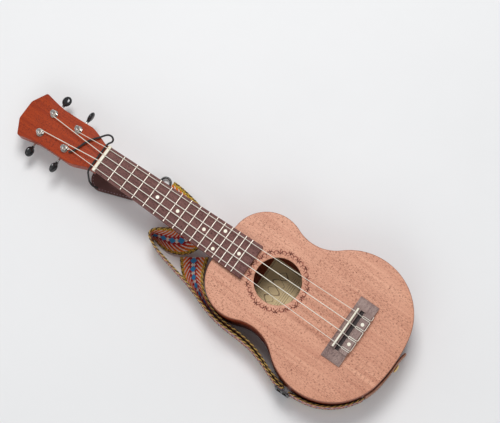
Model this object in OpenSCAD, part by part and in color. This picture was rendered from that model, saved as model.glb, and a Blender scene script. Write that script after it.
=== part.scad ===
// Soprano ukulele with a woven shoulder strap, lying on its back. Units are millimetres.
// +X is to the right seen from the front, +Y runs from the tail to the headstock, and +Z comes
// out of the soundboard. The origin is the middle of the flat back, on the centreline.

/* [Body] */
// Length of the body along the centreline
body_len = 242; // [238:1:246]
// Depth of the body over back and soundboard
body_depth = 60; // [58:1:66]
// Width of the lower bout
lower_w = 183; // [180:1:186]
// Width of the waist
waist_w = 119.4; // [118:0.2:121]
// Width of the upper bout
upper_w = 136; // [134:1:138]
// Radius of the lower bout
lower_r = 73.5; // [72:0.5:74.5]
// Radius of the upper bout
upper_r = 45; // [43.5:0.5:45]
// Thickness of the soundboard, back and sides
plate_t = 1.8; // [1.6:0.1:2.2]
// Diameter of the soundhole
hole_d = 56; // [52:1:58]

/* [Neck] */
// Scale length, from the nut to the saddle
scale_len = 345; // [343:1:347]
// Number of frets
fret_count = 15; // [12:1:15]
// Width of the neck at the nut
nut_w = 35.2; // [34:0.2:36]
// Width of the fretboard at its lower end
board_end_w = 46; // [45:0.5:47]
// Thickness of the fretboard
board_t = 5.6; // [5:0.1:6.2]
// Depth of the neck below the fretboard at the nut
neck_depth = 13; // [12:0.5:14]
// Backward tilt of the headstock in degrees
head_tilt = 12; // [11:0.5:13]
// Length of the headstock
head_len = 120; // [118:1:124]
// Thickness of the headstock
head_t = 13.5; // [13:0.5:14]

/* [Strings] */
// String spacing at the nut
nut_pitch = 9.05; // [8.8:0.05:9.3]
// String spacing at the saddle
saddle_pitch = 14.1; // [13.8:0.1:14.4]
// Height of the saddle's crown above the soundboard
saddle_h = 11.4; // [11:0.1:12]

/* [Tuners] */
// Teeth on each tuner gear, which is also its ratio to the worm
gear_teeth = 14; // [14:1:14]
// Tooth module of the gears
gear_module = 0.6; // [0.6:0.01:0.6]
// Distance from a post's axis to the centre of its button
button_reach = 24; // [23:0.5:26]

/* [Strap] */
// Width of the woven strap
strap_w = 38; // [36:1:40]
// Thickness of the woven strap
strap_t = 2; // [1.8:0.1:2.4]

/* [Hidden] */
$fn = 48;

// Body outline: five tangent arcs on each side of the centreline.
lower_from_tail = 75;
upper_from_top = 45.5;
lower_c = [lower_w / 2 - lower_r, lower_from_tail - body_len / 2];
upper_c = [upper_w / 2 - upper_r, body_len / 2 - upper_from_top];
tail_r = end_radius(lower_c.x, lower_c.y + body_len / 2, lower_r);
tail_c = [0, tail_r - body_len / 2];
shoulder_r = end_radius(upper_c.x, body_len / 2 - upper_c.y, upper_r);
shoulder_c = [0, body_len / 2 - shoulder_r];
waist_y = waist_height();
waist_r = waist_radius(waist_y, lower_c, lower_r);
waist_c = [waist_w / 2 + waist_r, waist_y];

// Heights of the main layers
top_z = body_depth;
inner_top_z = top_z - plate_t;
board_z = top_z + board_t;
fret_h = 1;
fret_z = board_z + fret_h;
nut_slot_z = fret_z + 0.6;
saddle_z = top_z + saddle_h;

// Places along the neck
join_y = body_len / 2;
nut_y = join_y + fret_distance(12);
nut_t = 4;
nut_h = 8.4;
board_len = 213.7;
nut_to_hole = 250.5;
head_y = nut_y + nut_t;
board_end_y = nut_y - board_len;
saddle_y = nut_y - scale_len;
hole_y = nut_y - nut_to_hole;

// Soundboard and inner work
lining_w = 3.5;
lining_h = 5.5;
block_half_w = 26;
neck_block_t = 14;
tail_block_t = 10;
label_size = [61, 48];

// Frets and inlays
fret_w = 2;
tang_w = 0.6;
tang_h = 1.6;
dot_r = 2.15;
dot_t = 1.2;

// Bridge. The saddle stands in the middle part, in front of a slot and a tie block.
bridge_w = 82.4;
bridge_front_y = saddle_y + 5.8;
bridge_depth = 25.2;
slot_front = 9.2;
slot_back = 15.4;
bridge_half_w = 27;
tie_top = 7.2;
tie_hole_z = 5;
saddle_t = 2.3;
saddle_len = 53;
saddle_foot = 2;
bridge_dot_x = 13.6;
bridge_dot_y = bridge_front_y - 20;
bridge_dot_r = 2.2;
screw_r = 1.1;
screw_head_r = 2;
screw_head_h = 1.6;
screw_seat = 3;

// Headstock tuners. Each entry is one string: the side of its post, and the post's place up the
// headstock. The order is the order of the strings from left to right.
post_x = 14;
low_post = 45.9;
high_post = 84.4;
tuner_side = [-1, -1, 1, 1];
tuner_y = [low_post, high_post, high_post, low_post];
string_d = [0.7, 1, 0.9, 0.7];
button_turn = [75, 55, 8, 100];
run_gap = 0.05;
collar_r = 4.8;
collar_h = 1.4;
bushing_r = 4.3;
bushing_len = 6;
post_r = 3;
post_low_r = 2.5;
post_foot_r = 2.2;
winding_r = 2.5;
winding_z = 3.4;
gear_t = 3.6;
gear_gap = 1.2;
tuner_plate_t = 1;
low_screw_y = -8.4;
high_screw_y = 12.6;
lug_r = 2.7;
plate_z = -head_t - tuner_plate_t;
gear_top_z = plate_z - gear_gap;
worm_z = gear_top_z - gear_t / 2;
tooth_pitch = PI * gear_module;
gear_pitch_r = gear_module * gear_teeth / 2;
worm_pitch_r = 2.1;
worm_y = gear_pitch_r + worm_pitch_r;
worm_turns = 4;
worm_len = worm_turns * tooth_pitch;
tooth_height = 0.5;
tooth_root = 0.7;
tooth_half = tooth_pitch / 4 - 0.1;
tooth_slope = tan(20);
shaft_r = 1.25;
lug_x = worm_len / 2 + 0.5;
lug_t = 1.3;

// Strap. The routes are points in plan with a height and a roll: 0 lies flat, 90 stands on edge.
strap_lift = 0.4;
edge_z = strap_lift + strap_w / 2;
slider_x = -99.9;
slider_y = -31.6;
slider_t = 1.8;
webbing_route = [
    [16, 220.8, 4.4, 0], [16, 213, 4.4, 3], [15, 204, 5, 6], [13.5, 194, 6, 9], [11.5, 184, 7.3, 12],
    [7.5, 174, 9, 15], [1, 167, 11, 18], [-7, 163.8, 13, 22], [-15, 165, 15, 27],
    [-22, 170.5, 16.8, 34], [-27, 179, 18.2, 46], [-30, 189, 19.2, 60], [-31.8, 198, 19.4, 74],
    [-34.5, 203.5, 19.4, 84], [-39, 202.5, 19.4, 89], [-43.5, 196, 19.4, 90], [-48, 182, 19.4, 90],
    [-52, 165, 19.4, 90], [-56, 147, 19.4, 90], [-60, 128, 19.4, 90], [-68, 108, 19.4, 90],
    [-74, 88, 19.4, 90], [-76.5, 68, 19.4, 90], [-77, 48, 19.4, 90], [-79, 28, 19.4, 90],
    [-84, 10, 19.4, 90], [-91, -8, 19.4, 90], [-95.4, -19, 19.4, 90], [-96.9, -30, 19.4, 90],
    [-95.8, -34.4, 19.4, 90], [-93.9, -33, 19.4, 90], [-92.6, -24, 19.4, 90],
    [-87.4, -6, 19.4, 90], [-80, 11, 19.4, 90], [-75, 27, 19.4, 90], [-72.4, 48, 19.4, 90],
    [-72.2, 68, 19.4, 90], [-70.6, 84, 19.4, 88], [-65, 101, 19.4, 82], [-59, 115, 19.2, 72],
    [-52, 126.5, 17.4, 58], [-44, 135, 14.8, 44], [-36, 141, 11.8, 32], [-27, 146.3, 8.6, 20]
];
tail_webbing_route = [
    [-96, -39, 19.4, 90], [-95.4, -47, 19.4, 90], [-94.6, -56, 19.4, 90], [-92, -68, 19.4, 90],
    [-87, -80, 19.4, 90], [-80, -91, 19.4, 90], [-71, -101, 19.4, 90], [-60, -109.4, 19.4, 90],
    [-51.9, -114.2, 19.4, 90]
];
ring_c = [20, 229];
ring_wire_r = 1.4;
ring_half = [8, 6];
tab_lift = 0.9;
ring_z = 4.6;
tab_t = 2.2;
tab_turn = 19.5;
tab_end = [-32.5, 58.4];
tab_strip = 42;
tab_r = 15;
tab_neck_w = 12;
tab_bore_r = ring_wire_r + 0.1;
rivet_y = 8;
rivet_r = 1.6;
tail_tab_t = 3;
tail_tab_w = 34;
pin_shaft_r = 2.6;
pin_head_r = 5.5;

// The lace is tied round the neck behind the nut, and its end lies over the headstock's face.
lace_r = 1.15;
lace_route = [
    [-25, 293, 4.2], [-27, 298, 10], [-26.5, 301, 22], [-24.5, 301.5, 36], [-22.5, 301.5, 50],
    [-21, 301.5, 58], [-18, 301.5, 61.4], [-12, 301.5, 61.6], [0, 301.5, 61.6], [12, 301.5, 61.6],
    [17.5, 301.5, 61.4], [21, 301, 58.4], [24, 300, 54.6], [27.5, 300.5, 53.6], [30, 304, 54.6],
    [29, 308.4, 56.4], [25, 311.4, 58.2], [21, 313.6, 59.2], [17, 317, 59.2], [12.5, 321, 58.4],
    [6, 325, 57.4], [-1, 327.6, 56.8], [-7, 329.6, 56.4], [-12, 332, 55.8], [-15, 335.4, 55.2]
];

// Radius of the centred end arc that is tangent to a corner arc. x is the corner's centre, depth
// is how far that centre lies inside the body's end, and r is the corner's radius.
function end_radius(x, depth, r) = (x * x + depth * depth - r * r) / (2 * (depth - r));
// Radius of the waist arc at height y that is tangent to a bout with centre c and radius r
function waist_radius(y, c, r) =
    let (gap = waist_w / 2 - c.x) (gap * gap + pow(y - c.y, 2) - r * r) / (2 * (r - gap));
// Height at which one waist arc is tangent to both bouts, from the quadratic that equates the two
function waist_height() =
    let (low_gap = waist_w / 2 - lower_c.x, up_gap = waist_w / 2 - upper_c.x,
         low_k = 1 / (2 * (lower_r - low_gap)), up_k = 1 / (2 * (upper_r - up_gap)),
         a = low_k - up_k, b = 2 * (upper_c.y * up_k - lower_c.y * low_k),
         c = low_k * (low_gap * low_gap + lower_c.y * lower_c.y - lower_r * lower_r)
             - up_k * (up_gap * up_gap + upper_c.y * upper_c.y - upper_r * upper_r),
         root = sqrt(b * b - 4 * a * c), first = (root - b) / (2 * a), second = (-root - b) / (2 * a))
    (first > lower_c.y && first < upper_c.y) ? first : second;
// Distance from the nut to a fret, by the rule of equal semitones
function fret_distance(n) = scale_len * (1 - pow(2, -n / 12));
// Width of the fretboard at a distance from the nut
function board_w(d) = nut_w - 1 + (board_end_w - nut_w + 1) * d / board_len;
// Bearing from p to q in degrees, counted from from_angle upwards
function bearing(p, q, from_angle = -180) =
    let (a = atan2(q.y - p.y, q.x - p.x)) a < from_angle ? a + 360 : a;
// Points along an arc, without its last point
function arc(c, r, a0, a1, n) =
    [for (i = [0:n - 1]) let (a = a0 + (a1 - a0) * i / n) c + r * [cos(a), sin(a)]];
// Right half of the body outline from tail to neck, moved inwards by inset
function half_outline(inset) = concat(
    arc(tail_c, tail_r - inset, -90, bearing(tail_c, lower_c), 4),
    arc(lower_c, lower_r - inset, bearing(tail_c, lower_c), bearing(lower_c, waist_c), 24),
    arc(waist_c, waist_r + inset, bearing(waist_c, lower_c, 0), bearing(waist_c, upper_c), 12),
    arc(upper_c, upper_r - inset, bearing(upper_c, waist_c), bearing(shoulder_c, upper_c), 22),
    arc(shoulder_c, shoulder_r - inset, bearing(shoulder_c, upper_c), 90, 2),
    [[0, body_len / 2 - inset]]);
// The whole outline
function outline(inset) = with_mirror(half_outline(inset));
// A right half and its mirror image, for a half that starts and ends on the centreline
function with_mirror(half) = concat(half, [for (i = [len(half) - 2:-1:1]) [-half[i].x, half[i].y]]);
// Quarter of a superellipse, for rounded sections
function d_section(w, d) = [for (a = [0:10:180]) [w / 2 * cos(a), -d * pow(sin(a), 0.8)]];

// Direction of v
function unit(v) = v / norm(v);
// Direction of a route at point i
function heading(route, i) =
    unit(route[min(i + 1, len(route) - 1)] - route[max(i - 1, 0)]);
// Position of a route's point, without its roll
function position(p) = [p.x, p.y, p.z];

// Tube along a route: rings of sides points, joined by quads and closed by flat ends.
module tube(route, r, sides = 8) {
    rings = [for (i = [0:len(route) - 1])
        let (t = heading(route, i), u = unit(cross(t, [0.31, 0.11, 0.94])), v = cross(u, t))
        for (k = [0:sides - 1]) route[i] + r * (cos(360 * k / sides) * u + sin(360 * k / sides) * v)];
    closed_rings(rings, sides, len(route));
}

// Polyhedron over count rings of size points each. A loop joins its last ring to its first, and
// anything else gets two flat ends.
module closed_rings(points, size, count, loop = false) {
    walls = [for (i = [0:count - (loop ? 1 : 2)]) for (k = [0:size - 1])
        let (a = i * size + k, b = i * size + (k + 1) % size, c = (i + 1) % count * size + k,
             d = (i + 1) % count * size + (k + 1) % size) each [[a, c, d], [a, d, b]]];
    ends = [[for (k = [0:size - 1]) k], [for (k = [size - 1:-1:0]) (count - 1) * size + k]];
    polyhedron(points, loop ? walls : concat(walls, ends), convexity = 8);
}

// A flat outline carried up z through height, centred, while it turns by angle in equal slices
module twisted(outline, height, angle, slices) {
    rings = [for (i = [0:slices])
        let (z = (i / slices - 0.5) * height, a = (i / slices - 0.5) * angle)
        for (p = outline) [p.x * cos(a) - p.y * sin(a), p.x * sin(a) + p.y * cos(a), z]];
    closed_rings(rings, len(outline), slices + 1);
}

// Flat strap along a route of [x, y, z, roll]: the width is level at roll 0 and upright at 90.
module ribbon(route, w, t) {
    line = [for (p = route) position(p)];
    flat = [for (p = line) [p.x, p.y, 0]];
    rings = [for (i = [0:len(route) - 1])
        let (along = heading(flat, i), side = cross(along, [0, 0, 1]), roll = route[i][3],
             across = cos(roll) * side + sin(roll) * [0, 0, 1], out = cross(across, along))
        for (c = [[-1, -1], [1, -1], [1, 1], [-1, 1]])
            line[i] + across * c.x * w / 2 + out * c.y * t / 2];
    closed_rings(rings, 4, len(route));
}

// ---------- body ----------

module body_slab(inset, z0, z1) {
    translate([0, 0, z0]) linear_extrude(z1 - z0) polygon(outline(inset));
}

module soundboard() {
    color([0.83, 0.62, 0.5]) difference() {
        body_slab(0, inner_top_z, top_z);
        translate([0, hole_y, inner_top_z - 1]) cylinder(d = hole_d, h = plate_t + 2, $fn = 96);
        bridge_screw_places() cylinder(r = screw_r, h = 3 * plate_t, center = true);
    }
}

module back_plate() {
    color([0.5, 0.22, 0.12]) body_slab(0, 0, plate_t);
}

// One of the two bent strips that meet at the end blocks: dir is 1 for the right one.
module side_strip(dir) {
    color([0.5, 0.2, 0.1]) difference() {
        body_slab(0, plate_t, inner_top_z);
        body_slab(plate_t, 0, top_z);
        end_pin_place() cylinder(r = pin_shaft_r, h = 3 * plate_t, center = true);
        translate([dir > 0 ? -body_len : 0, -body_len, 0]) cube([body_len, 2 * body_len, top_z]);
    }
}

module left_side() {
    side_strip(-1);
}

module right_side() {
    side_strip(1);
}

// A box across the body at one end, from wall_t inside the outline to the end of the body
module end_zone(end, wall_t, half_w) {
    depth = wall_t + plate_t;
    translate([-half_w, end > 0 ? join_y - depth : -join_y, 0]) cube([2 * half_w, depth, top_z]);
}

module end_block(end, wall_t) {
    intersection() {
        body_slab(plate_t, plate_t, inner_top_z);
        end_zone(end, wall_t, block_half_w);
    }
}

module neck_block() {
    color([0.75, 0.6, 0.42]) end_block(1, neck_block_t);
}

module tail_block() {
    color([0.75, 0.6, 0.42]) difference() {
        end_block(-1, tail_block_t);
        end_pin_place() cylinder(r = pin_shaft_r, h = 30, center = true);
    }
}

module lining(z0) {
    difference() {
        body_slab(plate_t, z0, z0 + lining_h);
        body_slab(plate_t + lining_w, 0, top_z);
        end_zone(1, neck_block_t, block_half_w);
        end_zone(-1, tail_block_t, block_half_w);
    }
}

// One lining runs round the back, and one round the soundboard.
module linings() {
    color([0.8, 0.66, 0.47]) for (z0 = [plate_t, inner_top_z - lining_h]) lining(z0);
}

// Brace across the body at y, with its foot on foot_z and its crown h away on the side of dir
module brace(y, foot_z, dir, w, h) {
    taper = 16;
    intersection() {
        translate([0, y + w / 2, foot_z]) rotate([90, 0, 0]) linear_extrude(w)
            polygon(with_mirror([[0, 0], [90, 0], [90, dir * h / 3], [55, dir * h / 3],
                                 [55 - taper, dir * h], [0, dir * h]]));
        body_slab(plate_t + lining_w, 0, top_z);
    }
}

module top_braces() {
    color([0.85, 0.72, 0.52]) for (y = [hole_y + 39, hole_y - 37]) brace(y, inner_top_z, -1, 6, 8);
}

module back_braces() {
    color([0.85, 0.72, 0.52]) for (y = [84, -40]) brace(y, plate_t, 1, 8, 9);
}

module bridge_plate() {
    color([0.6, 0.45, 0.3]) difference() {
        translate([-32, bridge_front_y - bridge_depth - 3, inner_top_z - 2.4]) cube([64, 32, 2.4]);
        bridge_screw_places() cylinder(r = screw_r, h = 20, center = true);
    }
}

module label() {
    color([0.72, 0.62, 0.46]) translate([-label_size.x / 2, hole_y - label_size.y / 2, plate_t])
        cube([label_size.x, label_size.y, 0.3]);
}

// ---------- neck ----------

// Moves its children to the headstock's frame: the face is z = 0 and y runs up the headstock.
module on_head() {
    translate([0, head_y, top_z]) rotate([-head_tilt, 0, 0]) children();
}

// Moves its children to tuner i: the post's axis is z and the button lies towards +X or -X.
module at_tuner(i) {
    on_head() translate([tuner_side[i] * post_x, tuner_y[i], 0]) children();
}

module head_outline() {
    half = [[0, 0], [nut_w / 2, 0], [nut_w / 2, 8], [25, 28.6], [25.9, 34], [25.4, 56],
            [25.4, 79], [28, 94], [31, head_len - 11], [12.5, head_len], [0, head_len]];
    polygon(with_mirror(half));
}

module neck_shaft() {
    hull() {
        translate([0, join_y + 1, top_z]) rotate([90, 0, 0]) linear_extrude(1)
            polygon(d_section(board_w(nut_y - join_y), neck_depth + 2));
        translate([0, head_y + 0.3, top_z]) rotate([90, 0, 0]) linear_extrude(1)
            polygon(d_section(nut_w - 0.4, neck_depth));
    }
}

// The heel is one profile seen from the side, one from the front and one from above, intersected.
module heel() {
    heel_z = 3;
    sweep_r = 34;
    side_view = concat([[join_y, heel_z], [join_y + 12, heel_z]],
        arc([join_y + 12 + sweep_r, heel_z + 8], sweep_r, 180, 90, 8),
        [[join_y + 12 + sweep_r, heel_z + 8 + sweep_r], [join_y + 46, top_z - 4], [join_y, top_z - 4]]);
    intersection() {
        rotate([90, 0, 90]) translate([0, 0, -30]) linear_extrude(60) polygon(side_view);
        translate([0, join_y + 60, 0]) rotate([90, 0, 0]) linear_extrude(60)
            polygon(with_mirror([[0, 0], [12, 0], [15.5, 14], [18.6, 30], [21, top_z - 4], [0, top_z - 4]]));
        translate([0, join_y - 22, 0]) cylinder(r = 68, h = top_z, $fn = 96);
    }
}

module neck() {
    color([0.62, 0.24, 0.1]) difference() {
        union() {
            neck_shaft();
            heel();
            on_head() translate([0, 0, -head_t]) linear_extrude(head_t) head_outline();
        }
        for (i = [0:3]) at_tuner(i) {
            translate([0, 0, -bushing_len]) cylinder(r = bushing_r, h = bushing_len + 1);
            translate([0, 0, -head_t - 1]) cylinder(r = post_r + 0.4, h = head_t + 2);
        }
    }
}

module fretboard() {
    color([0.36, 0.2, 0.17]) difference() {
        translate([0, 0, top_z]) linear_extrude(board_t) polygon([
            [-board_w(0) / 2, nut_y], [board_w(0) / 2, nut_y],
            [board_end_w / 2, board_end_y], [-board_end_w / 2, board_end_y]]);
        for (n = [1:fret_count]) fret_tang(n, 60);
        dot_places() translate([0, 0, -dot_t]) cylinder(r = dot_r, h = dot_t + 1);
    }
}

module fret_tang(n, w) {
    translate([-w / 2, nut_y - fret_distance(n) - tang_w / 2, board_z - tang_h])
        cube([w, tang_w, tang_h + 0.2]);
}

module frets() {
    color([0.85, 0.85, 0.86]) for (n = [1:fret_count]) {
        w = board_w(fret_distance(n)) - 0.3;
        fret_tang(n, w);
        intersection() {
            translate([-w / 2, nut_y - fret_distance(n), board_z]) rotate([0, 90, 0])
                cylinder(r = fret_w / 2, h = w);
            translate([-w, nut_y - fret_distance(n) - fret_w, board_z]) cube([2 * w, 2 * fret_w, fret_h]);
        }
    }
}

// One inlay lies midway between two frets, and the twelfth place has a pair.
module dot_places() {
    for (n = [5, 7, 10, 15]) dot_place(n, 0) children();
    for (side = [-1, 1]) dot_place(12, side * 12.7) children();
}

module dot_place(n, x) {
    y = nut_y - (fret_distance(n - 1) + fret_distance(n)) / 2;
    translate([x, y, board_z]) children();
}

module position_dots() {
    color([0.95, 0.94, 0.9]) dot_places() translate([0, 0, -dot_t]) cylinder(r = dot_r, h = dot_t);
}

module nut() {
    color([0.95, 0.92, 0.82]) difference() {
        translate([-nut_w / 2, nut_y, top_z]) rotate([90, 0, 90]) linear_extrude(nut_w)
            polygon([[0, 0], [nut_t, 0], [nut_t, nut_h - 1.6], [nut_t - 0.8, nut_h - 0.4],
                     [nut_t - 1.8, nut_h], [0.5, nut_h], [0, nut_h - 0.5]]);
        for (i = [0:3]) translate([string_nut_x(i) - string_d[i] / 2 - 0.1, nut_y - 1, nut_slot_z - 0.15])
            cube([string_d[i] + 0.2, nut_t + 2, 3]);
    }
}

// ---------- bridge ----------

// Moves its children to each bridge screw, on the soundboard's surface.
module bridge_screw_places() {
    for (side = [-1, 1]) translate([side * bridge_dot_x, bridge_dot_y, top_z]) children();
}

module bridge() {
    step = 12.2;
    middle = [[0, 0], [0, 4.6], [2, 7], [slot_front, 7], [slot_front, 2.6], [step, 2.6], [step, 3.6],
              [slot_back, 3.6], [slot_back, tie_top - 0.5], [slot_back + 0.5, tie_top],
              [bridge_depth - 1, tie_top], [bridge_depth, tie_top - 1.4], [bridge_depth, 0]];
    wing = [[bridge_half_w, 0], [bridge_half_w, 5.6], [30, 4], [34.5, 3.3], [38.5, 3.2],
            [bridge_w / 2, 1.4], [bridge_w / 2, 0]];
    color([0.45, 0.38, 0.36]) difference() {
        translate([0, bridge_front_y, top_z]) {
            translate([bridge_half_w, 0, 0]) rotate([90, 0, -90])
                linear_extrude(2 * bridge_half_w) polygon(middle);
            for (side = [0, 1]) mirror([side, 0, 0]) rotate([90, 0, 0])
                linear_extrude(bridge_depth) polygon(wing);
        }
        saddle_blank();
        for (i = [0:3]) translate([string_saddle_x(i), bridge_front_y - 15, top_z + tie_hole_z])
            rotate([90, 0, 0]) cylinder(r = 0.8, h = 12);
        bridge_screw_places() {
            cylinder(r = screw_r, h = 30, center = true);
            translate([0, 0, screw_seat]) cylinder(r = bridge_dot_r, h = 10);
        }
    }
}

// The saddle up to the start of its round crown
module saddle_blank() {
    translate([-saddle_len / 2, saddle_y - saddle_t / 2, top_z + saddle_foot])
        cube([saddle_len, saddle_t, saddle_h - saddle_foot - saddle_t / 2]);
}

module saddle() {
    color([0.95, 0.92, 0.82]) {
        saddle_blank();
        translate([-saddle_len / 2, saddle_y, saddle_z - saddle_t / 2]) rotate([0, 90, 0])
            cylinder(r = saddle_t / 2, h = saddle_len);
    }
}

module bridge_screws() {
    reach = plate_t + 2;
    color([0.7, 0.7, 0.72]) bridge_screw_places() {
        translate([0, 0, screw_seat]) cylinder(r = screw_head_r, h = screw_head_h);
        translate([0, 0, -reach]) cylinder(r = screw_r, h = screw_seat + reach);
    }
}

module bridge_dots() {
    foot = screw_seat + screw_head_h;
    color([0.96, 0.95, 0.92]) bridge_screw_places() translate([0, 0, foot])
        cylinder(r = bridge_dot_r, h = tie_top + 0.1 - foot);
}

// ---------- strings ----------

function string_nut_x(i) = (i - 1.5) * nut_pitch;
function string_saddle_x(i) = (i - 1.5) * saddle_pitch;
// A point of the headstock's frame, in the row's frame
function head_point(p) = [p.x, head_y + p.y * cos(head_tilt) + p.z * sin(head_tilt),
                          top_z - p.y * sin(head_tilt) + p.z * cos(head_tilt)];

// Each string is tied over the bridge's tie block, and ends beside the winding on its post.
module guitar_string(i) {
    r = string_d[i] / 2;
    xs = string_saddle_x(i);
    xn = string_nut_x(i);
    block_front = bridge_front_y - slot_back;
    block_back = bridge_front_y - bridge_depth;
    over = top_z + tie_top + r + 0.1;
    touch_x = tuner_side[i] * (post_x - winding_r - string_d[i] - r - 0.12);
    behind = block_back - r - 0.4;
    route = [
        [xs + 3.4, behind - 0.1, top_z + 4.4],
        [xs + 2.2, behind, top_z + 6.4],
        [xs + 1.6, behind + 0.8, over],
        [xs + 1.4, block_back + 2.4, over],
        [xs + 1.3, block_front - 0.8, over],
        [xs + 0.9, block_front + 1, over - 0.3],
        [xs, block_front + 1.8, over + 0.3],
        [xs - 1, block_front + 0.9, over - 0.2],
        [xs - 1.2, block_front - 0.8, over],
        [xs - 1.1, block_back + 2.4, over],
        [xs - 0.9, behind + 0.8, over],
        [xs - 0.6, behind, top_z + 6.6],
        [xs - 0.1, behind + 0.1, top_z + tie_hole_z + 0.2],
        [xs, block_back + 1, top_z + tie_hole_z],
        [xs, block_front - 0.2, top_z + tie_hole_z],
        [xs, saddle_y - 3.4, saddle_z - 2],
        [xs, saddle_y - 0.6, saddle_z + r],
        [xs, saddle_y + 0.6, saddle_z + r + 0.1],
        [xn, nut_y - 1, nut_slot_z + r],
        [xn, nut_y + nut_t - 0.4, nut_slot_z + r],
        head_point([touch_x, tuner_y[i], winding_z + string_d[i]])
    ];
    tube(route, r);
}

module string_1() { color([0.93, 0.9, 0.84]) guitar_string(0); }
module string_2() { color([0.93, 0.9, 0.84]) guitar_string(1); }
module string_3() { color([0.93, 0.9, 0.84]) guitar_string(2); }
module string_4() { color([0.93, 0.9, 0.84]) guitar_string(3); }

// Three turns of string, drawn as three rings on the post's waist
module winding(i) {
    d = string_d[i];
    at_tuner(i) for (turn = [0:2]) translate([0, 0, winding_z + d / 2 + turn * d]) difference() {
        cylinder(r = winding_r + d, h = d * 0.98, center = true);
        cylinder(r = winding_r, h = 2 * d, center = true);
    }
}

module winding_1() { color([0.93, 0.9, 0.84]) winding(0); }
module winding_2() { color([0.93, 0.9, 0.84]) winding(1); }
module winding_3() { color([0.93, 0.9, 0.84]) winding(2); }
module winding_4() { color([0.93, 0.9, 0.84]) winding(3); }

// ---------- tuners ----------

module post_bushings() {
    color([0.85, 0.85, 0.86]) for (i = [0:3]) at_tuner(i) difference() {
        union() {
            cylinder(r = collar_r, h = collar_h);
            translate([0, 0, -bushing_len]) cylinder(r = bushing_r, h = bushing_len + 0.5);
        }
        translate([0, 0, -bushing_len - 1]) cylinder(r = post_r + run_gap, h = bushing_len + collar_h + 2);
    }
}

// The two screws of each plate stand beyond the gear and beyond the worm.
module plate_screw_places() {
    for (y = [low_screw_y, high_screw_y]) translate([0, y, plate_z]) children();
}

module tuner_plates() {
    color([0.8, 0.8, 0.81]) for (i = [0:3]) at_tuner(i) difference() {
        union() {
            translate([-6.2, -6, plate_z]) cube([12.4, 16, tuner_plate_t]);
            hull() plate_screw_places() cylinder(r = 3, h = tuner_plate_t, $fn = 32);
            for (side = [-1, 1]) translate([side * (lug_x + lug_t / 2), worm_y, 0]) worm_lug();
        }
        translate([0, 0, plate_z - 1]) cylinder(r = post_low_r + run_gap, h = 4);
        plate_screw_places() cylinder(r = screw_r, h = 6, center = true);
        translate([-20, worm_y, worm_z]) rotate([0, 90, 0]) cylinder(r = shaft_r + run_gap, h = 40);
    }
}

// The upright ear that carries the worm shaft, with a round end
module worm_lug() {
    translate([-lug_t / 2, 0, worm_z]) rotate([0, 90, 0]) cylinder(r = lug_r, h = lug_t);
    translate([-lug_t / 2, -lug_r, worm_z]) cube([lug_t, 2 * lug_r, plate_z - worm_z + 0.5]);
}

module tuner_plate_screws() {
    head_h = 1.1;
    color([0.75, 0.75, 0.76]) for (i = [0:3]) at_tuner(i) plate_screw_places() {
        translate([0, 0, -head_h]) cylinder(r = screw_head_r, h = head_h);
        translate([0, 0, -0.5]) cylinder(r = screw_r, h = tuner_plate_t + 0.5);
    }
}

module post(i) {
    half = [
        [0, gear_top_z - gear_t], [post_foot_r, gear_top_z - gear_t], [post_foot_r, gear_top_z],
        [post_low_r, gear_top_z], [post_low_r, -bushing_len - 0.5], [post_r, -bushing_len],
        [post_r, winding_z - 0.4], [winding_r, winding_z - 0.1], [winding_r, 7], [post_r, 7.4],
        [post_r, 8.4], [2.5, 8.9], [2.1, 9.2], [2.1, 10.2], [1.5, 10.8], [0, 10.8]
    ];
    at_tuner(i) difference() {
        rotate_extrude() polygon(half);
        translate([-6, 0, 5]) rotate([0, 90, 0]) cylinder(r = 0.6, h = 12);
        translate([0, 0, gear_top_z - gear_t - 1]) cylinder(r = 1, h = 6);
    }
}

module post_1() { color([0.85, 0.85, 0.86]) post(0); }
module post_2() { color([0.85, 0.85, 0.86]) post(1); }
module post_3() { color([0.85, 0.85, 0.86]) post(2); }
module post_4() { color([0.85, 0.85, 0.86]) post(3); }

// One gear tooth as half-width and radius, from root to tip and back
function gear_tooth(k) =
    let (a = 90 + 360 * k / gear_teeth, tip_half = tooth_half - tooth_height * tooth_slope,
         root_half = tooth_half + tooth_root * tooth_slope,
         root = gear_pitch_r - tooth_root, tip = gear_pitch_r + tooth_height)
    [for (p = [[root, -root_half], [tip, -tip_half], [tip, tip_half], [root, root_half]])
        p[0] * [cos(a + p[1] / p[0] * 180 / PI), sin(a + p[1] / p[0] * 180 / PI)]];

// The teeth lean to follow the worm's thread where the two meet. Each section runs from the bore
// up the tooth's flank and back to the bore.
module gear(i) {
    lean = gear_t * tooth_pitch / (2 * PI * worm_pitch_r * gear_pitch_r) * 180 / PI;
    slices = 3;
    bore_r = post_foot_r + 0.04;
    teeth = [for (k = [0:gear_teeth - 1]) each gear_tooth(k)];
    sections = [for (p = teeth) for (j = [-1:slices + 1])
        let (share = max(0, min(slices, j)) / slices - 0.5, r = j < 0 || j > slices ? bore_r : norm(p),
             a = atan2(p.y, p.x) + share * lean) [r * cos(a), r * sin(a), share * gear_t]];
    at_tuner(i) translate([0, 0, worm_z]) closed_rings(sections, slices + 3, len(teeth), true);
}

module gear_1() { color([0.78, 0.7, 0.5]) gear(0); }
module gear_2() { color([0.78, 0.7, 0.5]) gear(1); }
module gear_3() { color([0.78, 0.7, 0.5]) gear(2); }
module gear_4() { color([0.78, 0.7, 0.5]) gear(3); }

module gear_screw(i) {
    at_tuner(i) translate([0, 0, gear_top_z - gear_t]) {
        translate([0, 0, -1.3]) cylinder(r = 2.7, h = 1.3);
        cylinder(r = 1, h = 4);
    }
}

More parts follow.
